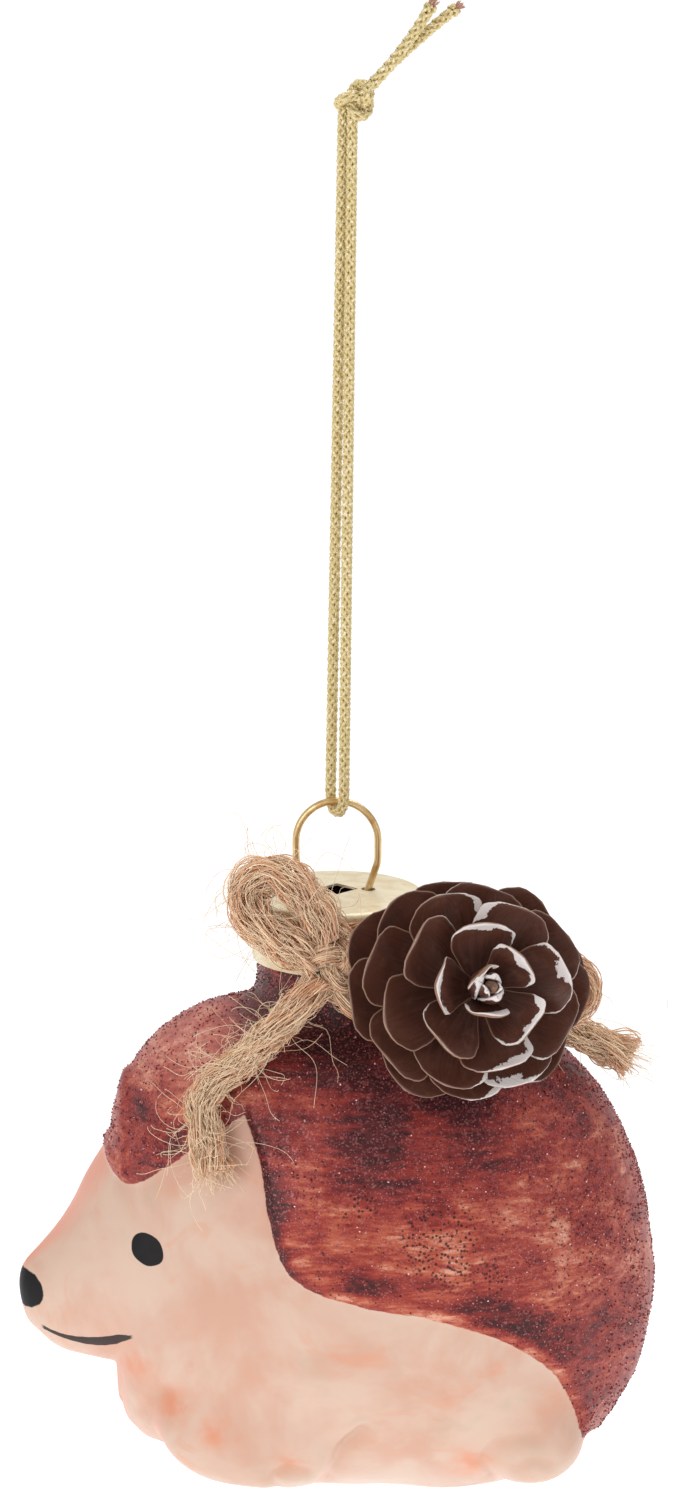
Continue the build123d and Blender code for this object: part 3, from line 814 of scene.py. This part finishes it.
# Daubs of snow paint on the face of the cone, from its tip: to the right, up, reach
snowSpots = [
    (0.0032, 0.0030, 0.0030), (-0.0050, -0.0008, 0.0030), (0.0014, -0.0040, 0.0032), (0.0088, 0.0022, 0.0030),
    (0.0068, -0.0060, 0.0026), (0.0050, -0.0118, 0.0034), (0.0002, 0.0086, 0.0034), (0.0078, -0.0010, 0.0022),
]
coneYaw, conePitch = math.radians(cone["yaw"]), math.radians(cone["pitch"])
coneAxis = np.array([
    math.sin(coneYaw),
    -math.cos(coneYaw) * math.cos(conePitch),
    math.cos(coneYaw) * math.sin(conePitch),
])
coneAcross = unit(np.array([1.0, 0, 0]) - coneAxis * coneAxis[0])
coneTurn = np.stack([coneAcross, np.cross(coneAxis, coneAcross), coneAxis], 1)


def onCone(points):
    return points @ coneTurn.T + np.array(cone["base"])


def stacked(*parts):  # coordinates of one grid as vectors
    return np.stack(np.broadcast_arrays(*parts), -1)


def budShape(layer):
    # Closed scales at the tip: each is a leaf wrapped on a cone, r(u) = a sin(pi (u + b)), with its edges
    # drawn together over the one inside it
    share = layer / (cone["budLayers"] - 1)
    radius = cone["budRadius"] * (1 + share)
    height = cone["budHeight"] - cone["budDrop"] * share
    u = np.linspace(0, 1, 16)[:, None]
    v = np.linspace(-1, 1, 17)[None]
    azimuth = math.radians(cone["firstAzimuth"] - (layer + 1) * cone["goldenAngle"])
    angle = azimuth + v * 1.25 * np.sqrt(np.clip(1 - u**2.2, 0.0004, 1))
    bulge = radius * (0.55 + 0.75 * np.sin(np.pi * (0.15 + 0.62 * u))) * (1 - 0.35 * (v * v) * u)
    outer = stacked(bulge * np.cos(angle), bulge * np.sin(angle), cone["depth"] * 0.77 + height * u)
    rim = np.minimum((1 - np.abs(v)) * 0.002, (1 - u) * height)
    grain = stacked(angle, u, float(layer))
    loop, rim, grain = [
        np.concatenate([front, back[:, ::-1]], axis=1)
        for front, back in ((outer, outer * [0.8, 0.8, 1.0] - [0, 0, 0.0002]), (rim, rim), (grain, grain))
    ]
    upper = np.concatenate([np.ones(angle.shape), np.zeros(angle.shape)], axis=1)
    return onCone(loop), pouchFaces(*loop.shape[:2]), coneNotes(rim, grain, upper, cone["snow"] * 0.22)


def grown(number, start, pace):  # share of its full size that a scale has reached, by its number from the tip
    return 1 - math.exp(-(number + start) / pace)


def scaleShape(number):
    # One spoon-shaped plate: half width w(u) along its length, bent on a ball that is hollow towards the
    # cone's tip, with a flat oval section that closes to a point at both ends
    azimuth = math.radians(cone["firstAzimuth"] + number * cone["goldenAngle"])
    oval = 1 + cone["oval"] * math.cos(2 * azimuth)
    reach = cone["radius"] * oval * grown(number, *cone["reachGrowth"])
    share = (number / (cone["scales"] - 1)) ** 0.75
    rootH = cone["depth"] * (1 - cone["firstRoot"] - (cone["lastRoot"] - cone["firstRoot"]) * share)
    steeper = (cone["innerTilt"] - cone["outerTilt"]) * math.exp(-number / cone["tiltPace"])
    tilt = math.radians(cone["outerTilt"] + steeper)
    width = cone["width"] * grown(number, *cone["widthGrowth"])
    rootR = cone["axisBase"] + (cone["axisTip"] - cone["axisBase"]) * rootH / cone["depth"] - 0.00035
    length = (reach - rootR) / math.cos(tilt)
    ball = cone["hollow"] * length
    rise = ball - math.sqrt(ball**2 - length**2 / 4)
    rootHalf = min(cone["rootWidth"], width * 0.6) / 2
    outline = roundedLine([(0, rootHalf)] + [(along, wide * width) for along, wide in scaleOutline], 200)
    outline[:, 0] = np.maximum.accumulate(outline[:, 0])
    u = (1 - np.cos(np.linspace(0, np.pi, cone["rows"]))) / 2
    half = np.interp(u, outline[:, 0], outline[:, 1])
    half[0] = rootHalf
    u, half = u[:, None], half[:, None]
    seed = np.random.default_rng(100 + number)
    angle = turnsOf(cone["around"])
    across = np.cos(angle) * half
    ripple = cone["ripple"] * np.sin(u * 9 + across / width * 7 + seed.uniform(0, 6)) * inward(0.3, 1, u)
    wave = cone["edgeWave"] * length * np.sin(across / width * 5 + seed.uniform(0, 6)) * inward(0.4, 1, u)
    lens = np.sign(np.sin(angle)) * np.abs(np.sin(angle)) ** 0.5
    thick = cone["thickness"] / 2 * (inward(0.82, 1, u) * 0.3 + 0.85)
    thick = thick * np.sqrt(np.clip(1 - (2 * np.clip(u, 0.985, 1) - 1.97) / 0.03, 0.02, 1))
    bowl = ball - rise - np.sqrt(np.maximum(ball**2 - (length * u - length / 2) ** 2 - across**2, 0))
    plate = turned(stacked(length * u + wave, across, bowl + lens * thick + ripple), 0, 2, tilt)
    plate = plate + [rootR, 0, rootH]
    plate = turned(plate, 0, 1, azimuth)
    rim = np.minimum(half - np.abs(across), (1 - u) * length)
    grain = stacked(across / np.maximum(half, 1e-5), u, float(number))
    upper = (lens > 0) * inward(0, 0.5, np.abs(lens)) * np.ones_like(u)
    near = [np.hypot(plate[..., 0] - right, plate[..., 1] - up) / reach for right, up, reach in snowSpots]
    snow = cone["snow"] * (0.02 + np.exp(-np.min(near, axis=0) ** 2)) * inward(0.5, 0.85, u)
    return onCone(plate), pouchFaces(cone["rows"], cone["around"]), coneNotes(rim, grain, upper, snow)


def coneNotes(rim, grain, upper, snow):
    snow = np.broadcast_to(snow, rim.shape)
    return {"rim": rim.ravel(), "grain": grain.reshape(-1, 3), "upper": upper.ravel(), "snow": snow.ravel()}


def paintScale():
    f = Finish("cone scale")
    spot = f.spot()
    grain = f.noted("grain", "Vector")
    rim, upper = f.noted("rim"), f.noted("upper")
    fan = f.noise(f.stretched(grain, (9, 0.8, 7.3)), 1.6, 4, 0.6)
    mottle = f.noise(spot, 420, 4, 0.6)
    flakes = f.noise(spot, 260, 5, 0.7)
    edge = f.between(rim + (mottle - 0.5) * 0.0002, 0.00028, 0.0001)
    cover = f.between(f.noted("snow") * (flakes * 4.4 - 1.2) - rim, -0.00003, 0.00012) * upper
    wood = f.layered(
        f.mix(f.between(fan, 0.15, 0.9), *cone["wood"]),
        # lighter, warmer tips, with the roots left darker as painted shade
        (f.between(f.along(grain, "Y"), 0.3, 1.0) * 0.4, cone["tips"]),
        (f.between(mottle, 0.5, 0.8) * 0.3, cone["mottle"]),
        ((1 - upper) * 0.55, cone["backs"]),
        (edge * 0.6, cone["edges"]),
        (cover, cone["snowPaint"]),
    )
    height = fan * 0.5 + mottle * 0.3 + cover * 0.8
    return f.done(f.skin(
        Base_Color=wood, Roughness=0.42 + cover * 0.1, Normal=f.bump(height, 0.0003, 0.5),
        Coat_Weight=0.12, Coat_Roughness=0.25,
    ))


scalePaint = paintScale()
for number in range(cone["scales"]):
    points, faces, notes = scaleShape(number)
    named = f"{number + 1:02d}"
    meshPiece("coneScale" + named, points, faces, scalePaint, "cap", "cone_wood", ["cone_scale_" + named], notes)
budLayers = [budShape(layer) for layer in range(cone["budLayers"])]
bud = np.zeros((0, 3)), []
for points, faces, _ in budLayers:
    bud = together(bud, (points.reshape(-1, 3), faces))
notes = {note: np.concatenate([layer[2][note] for layer in budLayers]) for note in budLayers[0][2]}
meshPiece("coneBud", *bud, scalePaint, "cap", "cone_wood", (), notes)
print("stage: cone made")

# Gold cord: eight carriers braided over each other
cord = {
    "diameter": 0.0015, "pitch": 0.0058, "carrierRadius": 0.00027, "middleRadius": 0.00047, "weave": 0.00012,
    "step": 0.00018, "coreLength": 0.0011, "coreFibres": 46, "coreRadius": 0.00006,
    "fray": 0.3, "frayed": 0.0022,
    "gold": (tint(206, 184, 124), tint(230, 214, 168)), "glint": tint(250, 242, 214), "cotton": tint(204, 158, 138),
}
# The part's route, with one point more on each tight run near the ring
cordRoute = [
    (0.00062, -0.0005, 0.0025), (-0.00049, -0.00127, -0.0928), (-0.00056, -0.00132, -0.09885),
    (-0.00244, 0.00132, -0.09885), (-0.00233, 0.00127, -0.0928), (-0.00062, 0.0005, 0.0025),
]
cordTails = {
    "Left": [(0, -0.0008, 0), (0.007, -0.0009, 0.0074), (0.0103, -0.0011, 0.0136)],
    "Right": [(0, 0.0008, 0), (0.007, 0.0009, 0.0076), (0.0138, 0.0011, 0.0128)],
}


def braid(path, along, closed=False, fray=0.0):
    # Carrier k of a direction stands at angle k/4 turn plus or minus a full turn per pitch, and its
    # distance from the middle swings once for each carrier that it passes over or under
    _, side, up = carriedFrames(path, closed)
    length, along = along[-1], along[: len(path)]
    turns = round(length / cord["pitch"]) if closed else length / cord["pitch"]
    base = fullTurn * turns * along / length
    spread = 1 + fray * inward(length - cord["frayed"], length, along)
    lines = []
    for way in (-1, 1):
        for carrier in range(4):
            angle = way * base + carrier * np.pi / 2
            swing = (cord["middleRadius"] + way * cord["weave"] * np.cos(4 * base)) * spread
            lines.append(path + side * (np.cos(angle) * swing)[:, None] + up * (np.sin(angle) * swing)[:, None])
    return np.array(lines)


def coreFibres(path, seed):
    # The cotton core that stands out of a cut end: straight fibres that lean apart
    source = np.random.default_rng(seed)
    count = cord["coreFibres"]
    tangent, away = rooted(path, np.full(count, -1), source)
    out = drawn(source, 0, 1, count)
    t = np.linspace(-0.5, 1, 6)[None, :, None]
    reach = drawn(source, 0.5, 1, count) * cord["coreLength"]
    return path[-1] + tangent[:, None] * t * reach + away[:, None] * out * (0.0004 + 0.0004 * np.maximum(t, 0))


def paintGold():
    f = Finish("gold braid")
    spot = f.spot()
    thread = f.noise(spot, 2600, 2, 0.5)
    glint = f.between(f.channel(f.cells(spot, 3000, "Color"), 0), 0.86, 0.94)
    core = f.noted("core")
    gold = f.mix(f.between(thread, 0.3, 0.7), *cord["gold"])
    gold = f.layered(gold, (glint * 0.6, cord["glint"]), (core, cord["cotton"]))
    return f.done(f.skin(
        Base_Color=gold, Metallic=0.4 - core * 0.4, Roughness=0.4 + thread * 0.2, Normal=f.bump(thread, 0.0002, 0.6)
    ))


goldPaint = paintGold()


def goldPiece(name, path, along, replaced, closed=False, fray=0.0, seed=None):
    shape = threadBundle(braid(path, along, closed, fray), cord["carrierRadius"], 5, closed)
    core = np.zeros(len(shape[0]))
    if seed is not None:
        shape = together(shape, threadBundle(coreFibres(path, seed), cord["coreRadius"], 4))
        core = np.concatenate([core, np.ones(len(shape[0]) - len(core))])
    return meshPiece(name, *shape, goldPaint, "cord", "gold_cord", [replaced], {"core": core})


loopPath, loopAlong = readRoute(cordRoute, cord["step"])
goldLoop = goldPiece("goldLoop", loopPath, loopAlong, "hanging_cord")
knotMiddle = np.array([place["knotX"], 0, place["knotZ"]])
for seed, (name, route) in enumerate(cordTails.items()):
    path, along = readRoute([knotMiddle + point for point in route], cord["step"])
    node = "cord_tail_" + name.lower()
    goldPiece("goldTail" + name, path, along, node, fray=cord["fray"], seed=seed)
goldKnot = goldPiece("goldKnot", *knotPath(knotMiddle, (0.0046, 0.0029, 0.0036), 170, 0.6), "cord_knot", closed=True)
print("stage: gold cord made")

# Jute twine: three plies of many fibres, with loose hairs
jute = {
    "diameter": 0.0034, "pitch": 0.019, "plies": 3, "fibres": 40, "fibreRadius": 0.000095, "step": 0.0007,
    "drift": 0.16, "fray": 0.45, "frayed": 0.009, "hairs": 20, "hairRadius": 0.00006,
    "hairLeast": 0.0012, "hairMost": 0.0052, "hairLift": 0.34, "hairCurl": 0.24, "hairRipple": 0.045,
    "straw": (tint(214, 148, 104), tint(255, 229, 194)), "stain": tint(204, 150, 114),
}
# Each run of the bow: its node, half thickness, share of hairs, and route from the middle of the cap's top
juteRuns = {
    "LeftEar": ("twine_left_ear", 0.0031, 2.2, [
        (-0.0022, -0.0164, -0.0062), (-0.0074, -0.0155, -0.0038), (-0.0122, -0.0128, -0.0006),
        (-0.0130, -0.0108, 0.0030), (-0.0102, -0.0109, 0.0054), (-0.0062, -0.0120, 0.0048),
        (-0.0026, -0.0150, 0.0008), (-0.0004, -0.0164, -0.0032),
    ]),
    "LeftTail": ("twine_left_tail", 0.0023, 2.6, [
        (-0.0020, -0.0172, -0.0082), (-0.0070, -0.0182, -0.0140), (-0.0130, -0.0174, -0.0202),
        (-0.0190, -0.0186, -0.0244), (-0.0186, -0.0219, -0.0294), (-0.0169, -0.0243, -0.0344),
    ]),
    "RightEar": ("twine_right_ear", 0.0022, 0.6, [
        (0.0015, -0.0164, -0.0042), (0.0110, -0.0116, -0.0050), (0.0230, -0.0084, -0.0080),
        (0.0316, -0.0066, -0.0090), (0.0352, -0.0060, -0.0112), (0.0356, -0.0058, -0.0146),
        (0.0322, -0.0056, -0.0166), (0.0240, -0.0079, -0.0149), (0.0110, -0.0134, -0.0112),
        (0.0015, -0.0165, -0.0078),
    ]),
    "RightTail": ("twine_right_tail", 0.0023, 1.8, [
        (-0.0005, -0.0148, -0.0097), (0.0042, -0.0154, -0.0146), (0.0120, -0.0094, -0.0138),
        (0.0200, -0.0046, -0.0140), (0.0280, -0.0030, -0.0174), (0.0350, -0.0024, -0.0210),
        (0.0414, -0.0020, -0.0240),
    ]),
}
# The turn round the cap is two flattened turns of the twine, one above the other
wrap = {
    "radius": 0.01295, "z": -0.11415, "rise": 0.0012, "halfHeight": 0.0015, "halfThick": 0.00062,
    "steps": 220, "fibres": 90, "hairs": 700,
}
bowKnot = {"middle": (-0.0015, -0.01645, -0.11625), "sizes": (0.0052, 0.0030, 0.0052), "half": 0.0013, "hairShare": 0.9}
# Long loose hairs, and the splayed fibres of the cut ends: how many on each run, how long, how far round
# their arcs go, and the glass, cap and cone that they stay out of
wisps = {
    "count": {"LeftTail": 230, "LeftEar": 130, "RightTail": 80}, "least": 0.004, "most": 0.0125, "bend": (0.8, 3.4),
    "brush": {"LeftTail": 110, "RightTail": 80}, "brushLeast": 0.0020, "brushMost": 0.0046, "radius": 0.00004,
    "glassGap": 0.0004, "capRadius": 0.0131, "capZ": (-0.1185, -0.1085), "coneMiddle": 0.009, "coneReach": 0.0178,
}


def twist(path, along, half, seed, closed, fray):
    # Ply p turns round the path once per pitch and its fibres turn round the ply the other way. Each
    # fibre wanders by a slow wave of its own, and a cut end opens out over its last millimetres
    source = np.random.default_rng(seed)
    _, side, up = carriedFrames(path, closed)
    length, along = along[-1], along[: len(path)]
    share = along / length
    turns = max(1, round(length / jute["pitch"])) if closed else length / jute["pitch"]
    spread = 1 + fray * inward(length - jute["frayed"], length, along)
    count = jute["plies"] * jute["fibres"]
    ply = np.repeat(np.arange(jute["plies"]), jute["fibres"])[:, None]
    plyAngle = fullTurn * turns * share[None] + ply * fullTurn / jute["plies"]
    own = source.uniform(0, fullTurn, (count, 1))
    out = np.sqrt(source.uniform(0.02, 1, (count, 1))) * 0.52
    swings = source.integers(2, 7, (count, 1)) if closed else source.uniform(0.4, 1.3, (count, 1)) * length / 0.008
    out = out + jute["drift"] * np.sin(fullTurn * share[None] * swings + source.uniform(0, 6, (count, 1)))
    angle = (-plyAngle if closed else -0.5 * plyAngle) + own
    across = (0.5 * np.cos(plyAngle) + out * np.cos(angle)) * spread * half
    outward = (0.5 * np.sin(plyAngle) + out * np.sin(angle)) * spread * half
    return path[None] + side[None] * across[..., None] + up[None] * outward[..., None]


def hairs(path, radius, count, seed, toEnd=0.0):
    # Loose hairs: each starts on the twine, runs along it for a little and bends away with its own curl
    source = np.random.default_rng(seed)
    where = source.uniform(0, 1, count) ** (1 - toEnd)
    at = np.clip((where * (len(path) - 2)).astype(int), 1, len(path) - 2)
    tangent, outward = rooted(path, at, source)
    length = drawn(source, jute["hairLeast"], jute["hairMost"], count)
    t = np.linspace(0, 1, 8)[None, :, None]
    sign = source.choice([-1, 1], count)[:, None, None]
    curl = drawn(source, -jute["hairCurl"], jute["hairCurl"], count)
    ripple = drawn(source, 0, jute["hairRipple"], count) * np.sin(t * drawn(source, 4, 11, count))
    step = np.linalg.norm(np.diff(path, axis=0), axis=1).mean()
    travel = at[:, None, None] + length * t * sign * 0.75 / step
    held = np.clip(travel, 0, len(path) - 1)
    line = np.concatenate([np.interp(held, np.arange(len(path)), path[:, k]) for k in range(3)], -1)
    line = line + tangent[:, None] * (travel - held) * step * 0.4
    line = line + outward[:, None] * (radius * 0.62 + length * (jute["hairLift"] * t * (1.2 - 0.5 * t) + ripple))
    return line + np.cross(tangent, outward)[:, None] * length * curl * t * t


def paintJute():
    f = Finish("jute")
    spot = f.spot()
    straw = f.mix(f.noted("fibre"), *jute["straw"])
    straw = f.mix(f.between(f.noise(spot, 260, 3, 0.6), 0.5, 0.72) * 0.35, straw, jute["stain"])
    thread = f.bump(f.noise(spot, 3000, 2, 0.5), 0.0001, 0.5)
    return f.done(f.skin(Base_Color=straw, Roughness=0.72, Normal=thread, Sheen_Weight=0.3))


jutePaint = paintJute()


def juteShape(lines, loose, seed, closed):
    # The twine's own fibres and its loose hairs as one mesh, each thread with a shade of its own
    source = np.random.default_rng(seed)
    shape = threadBundle(lines, jute["fibreRadius"], 4, closed)
    fibre = np.repeat(source.uniform(0, 1, len(lines)), lines.shape[1] * 4)
    shape = together(shape, threadBundle(loose, jute["hairRadius"], 3))
    hair = np.repeat(source.uniform(0.5, 1.2, len(loose)), loose.shape[1] * 3)
    return *shape, {"fibre": np.concatenate([fibre, hair])}


def twineShape(path, along, half, seed, hairShare, closed=False, fray=0.0):
    count = int(along[-1] / 0.001 * jute["hairs"] * hairShare)
    lines = twist(path, along, half, seed, closed, fray)
    return juteShape(lines, hairs(path, half, count, seed + 2, 0.4 if fray else 0.0), seed + 1, closed)


def jutePiece(name, points, faces, notes, *replaced):
    return meshPiece("jute" + name, points, faces, jutePaint, "cap", "jute", replaced, notes)


capMiddle = neckAt + [0, 0, place["capTopZ"]]
twinePieces, twinePaths = {}, {}
for seed, (name, (node, half, fuzz, route)) in enumerate(juteRuns.items()):
    path, along = readRoute([capMiddle + np.array(point) for point in route], jute["step"])
    shape = twineShape(path, along, half, seed * 10, fuzz, fray=jute["fray"] if "Tail" in name else 0.0)
    twinePieces[name] = jutePiece(name, *shape, node)
    twinePaths[name] = (path, along[-1])


def wrapShape():
    # Each fibre winds round the flat oval section of its turn five to seven times on the way round the cap
    source = np.random.default_rng(70)
    count = wrap["fibres"]
    level = np.repeat([-1, 1], count // 2)[:, None] * wrap["rise"]
    angle = turnsOf(wrap["steps"]) * source.integers(5, 8, (count, 1)) + source.uniform(0, fullTurn, (count, 1))
    out = np.sqrt(source.uniform(0.02, 1, (count, 1)))
    radius = wrap["radius"] + wrap["halfThick"] * out * np.cos(angle)
    z = wrap["z"] + level + wrap["halfHeight"] * out * np.sin(angle)
    lines = neckAt + circleOf(wrap["steps"]) * radius[..., None] + np.array([0, 0, 1]) * z[..., None]
    return juteShape(lines, hairs(lines.mean(axis=0), wrap["halfThick"], wrap["hairs"], 72), 71, True)


def wispLines():
    # A long hair leaves the twine on an arc of a circle, p(t) = sin(kt)/k ahead and (1 - cos(kt))/k aside;
    # those that would enter the glass, the cap or the cone are left out
    source = np.random.default_rng(95)
    t = np.linspace(0, 1, 14)[None, :, None]
    lines = []
    for name, count in wisps["count"].items():
        path = twinePaths[name][0]
        at = (source.uniform(0.08, 1, count) ** 0.8 * (len(path) - 1)).astype(int)
        tangent, outward = rooted(path, at, source)
        lean = unit(outward * 0.7 + tangent * source.uniform(-1.0, 1.5, (count, 1)) + source.normal(0, 0.3, (count, 3)))
        reach = drawn(source, wisps["least"], wisps["most"], count)
        turn = source.choice([-1, 1], (count, 1, 1)) * drawn(source, *wisps["bend"], count)
        start = path[at] + outward * juteRuns[name][1] * 0.6
        aside = unit(np.cross(lean, source.normal(0, 1, (count, 3))))[:, None]
        swing = 0.05 * np.sin(t * drawn(source, 5, 12, count))
        arc = lean[:, None] * np.sin(turn * t) / turn + aside * ((1 - np.cos(turn * t)) / turn + swing)
        lines.append(start[:, None] + reach * arc - [0, 0, 0.001] * t * t)
    for name, count in wisps["brush"].items():
        # the splayed fibres of a cut end, rooted in its last millimetres
        path = twinePaths[name][0]
        at = len(path) - 1 - source.integers(2, 6, count)
        tangent, outward = rooted(path, at, source)
        lean = unit(tangent + outward * source.uniform(0, 0.55, (count, 1)) + source.normal(0, 0.12, (count, 3)))
        reach = drawn(source, wisps["brushLeast"], wisps["brushMost"], count)
        start = path[at] + outward * juteRuns[name][1] * source.uniform(0.2, 0.9, (count, 1))
        droop = source.normal(0, 0.2, (count, 1, 3))
        lines.append(start[:, None] + reach * (lean[:, None] * t + droop * t * t))
    lines = np.concatenate(lines)
    fromNeck = np.hypot(lines[..., 0] - place["neckX"], lines[..., 1])
    capFoot, capHead = wisps["capZ"]
    inCap = (fromNeck < wisps["capRadius"]) & (lines[..., 2] > capFoot) & (lines[..., 2] < capHead)
    fromCone = np.linalg.norm(lines - (np.array(cone["base"]) + coneAxis * wisps["coneMiddle"]), axis=-1)
    clear = (glassField(lines) > wisps["glassGap"]) & (fromCone > wisps["coneReach"]) & ~inCap
    return lines[clear.all(axis=1)]


jutePiece("Wrap", *wrapShape(), "twine_wrap")
knotShape = knotPath(bowKnot["middle"], bowKnot["sizes"], 150, 0.4)
jutePiece("Knot", *twineShape(*knotShape, bowKnot["half"], 90, bowKnot["hairShare"], closed=True), "twine_knot")
loose = wispLines()
shade = np.repeat(np.random.default_rng(96).uniform(0.5, 1.3, len(loose)), loose.shape[1] * 3)
jutePiece("Wisps", *threadBundle(loose, wisps["radius"], 3), {"fibre": shade})
print("stage: twine made")

# Carried-over nodes get their own finishes: a cloudy noise between two colours, roughness and bump with it
carriedOver = {
    "hanger_wire": {
        "name": "brass wire", "noise": (500, 4, 0.6), "edges": (0.4, 0.7), "metal": 0.85, "rough": (0.25, 0.2),
        "colours": (tint(228, 200, 150), tint(196, 158, 100)), "bump": (0.0001, 0.3),
    },
    "cap": {
        "name": "cap metal", "noise": (300, 4, 0.6), "edges": (0.35, 0.7), "metal": 0.45, "rough": (0.35, 0.2),
        "colours": (tint(238, 228, 200), tint(222, 202, 164)), "bump": (0.0003, 0.4),
    },
    "glue_pad": {
        "name": "hot glue", "noise": (400, 3, 0.5), "edges": None, "metal": 0.0, "rough": (0.25, 0.15),
        "colours": (tint(222, 208, 184), tint(244, 236, 220)), "bump": (0.0004, 0.4),
    },
    "cone_axis": {
        "name": "cone stem", "noise": (900, 5, 0.7), "edges": (0.3, 0.7), "metal": 0.0, "rough": (0.45, 0.3),
        "colours": (tint(58, 30, 22), tint(146, 108, 84)), "bump": (0.0005, 0.7),
    },
}
for node, look in carriedOver.items():
    f = Finish(look["name"])
    cloud = f.noise(f.spot(), *look["noise"])
    share = f.between(cloud, *look["edges"]) if look["edges"] else cloud
    skin = f.skin(
        Base_Color=f.mix(share, *look["colours"]), Metallic=look["metal"],
        Roughness=look["rough"][0] + cloud * look["rough"][1], Normal=f.bump(cloud, *look["bump"]),
    )
    nodes[node].data.materials.clear()
    nodes[node].data.materials.append(f.done(skin))
print("stage: carried-over pieces finished")

# Each twine run's path and length are read here and not used further
for name, piece in twinePieces.items():
    path, length = twinePaths[name]
    "bare" if "Tail" in name else "knot"

# Studio: a wide pale floor, a soft sky and three large lamps: offset from the body, width, power
studio = {
    "floorZ": -0.32, "floorHalf": 6.0, "floorColour": tint(240, 240, 240), "floorGlow": 0.5,
    "skyColour": tint(252, 250, 248), "skyStrength": 0.62, "middle": (0.0, 0.0, -0.15),
}
softboxes = {
    "key": ((-0.55, -0.75, 0.35), 0.55, 2.6),
    "fill": ((0.7, -0.6, 0.05), 0.6, 0.8),
    "top": ((0.1, 0.25, 0.6), 0.5, 2.0),
}
half = studio["floorHalf"]
floorMesh = bpy.data.meshes.new("floor")
floorCorners = [(x * half, y * half, studio["floorZ"]) for x, y in ((-1, -1), (1, -1), (1, 1), (-1, 1))]
floorMesh.from_pydata(floorCorners, [], [(0, 1, 2, 3)])
floorPaint = Finish("pale floor")
floorMesh.materials.append(floorPaint.done(floorPaint.skin(
    Base_Color=studio["floorColour"], Roughness=0.9,
    Emission_Color=(1.0, 1.0, 1.0, 1.0), Emission_Strength=studio["floorGlow"],
)))
floor = linked("floor", floorMesh)

world = bpy.data.worlds.new("soft studio")
world.use_nodes = True
world.node_tree.nodes["Background"].inputs["Color"].default_value = studio["skyColour"]
world.node_tree.nodes["Background"].inputs["Strength"].default_value = studio["skyStrength"]
bpy.context.scene.world = world
bpy.context.scene.view_settings.view_transform = "Standard"
for name, (offset, size, power) in softboxes.items():
    light = bpy.data.lights.new(name, "AREA")
    light.size = size
    light.energy = power
    lamp = linked(name, light)
    lamp.location = np.array(studio["middle"]) + np.array(offset)
    direction = unit(np.array(offset))
    lamp.rotation_euler = (math.acos(direction[2]), 0, math.atan2(direction[1], direction[0]) + math.pi / 2)

# Camera at the photograph's angle
picture = {"rows": 1500, "hangRow": 128, "metresPerPixel": 0.00014, "elevation": 14.5, "distance": 1.5}
climb = math.radians(picture["elevation"])
middleHeight = (picture["hangRow"] - picture["rows"] / 2) * picture["metresPerPixel"] / math.cos(climb)
camera = bpy.data.cameras.new("camera")
camera.sensor_fit = "VERTICAL"
camera.sensor_height = 24
camera.lens = camera.sensor_height * picture["distance"] / (picture["rows"] * picture["metresPerPixel"])
camera.clip_end = 30
viewer = linked("camera", camera)
viewer.location = (
    place["neckX"],
    -picture["distance"] * math.cos(climb),
    middleHeight + picture["distance"] * math.sin(climb),
)
viewer.rotation_euler = (math.pi / 2 - climb, 0, 0)
bpy.context.scene.camera = viewer
print("stage: studio and camera set")
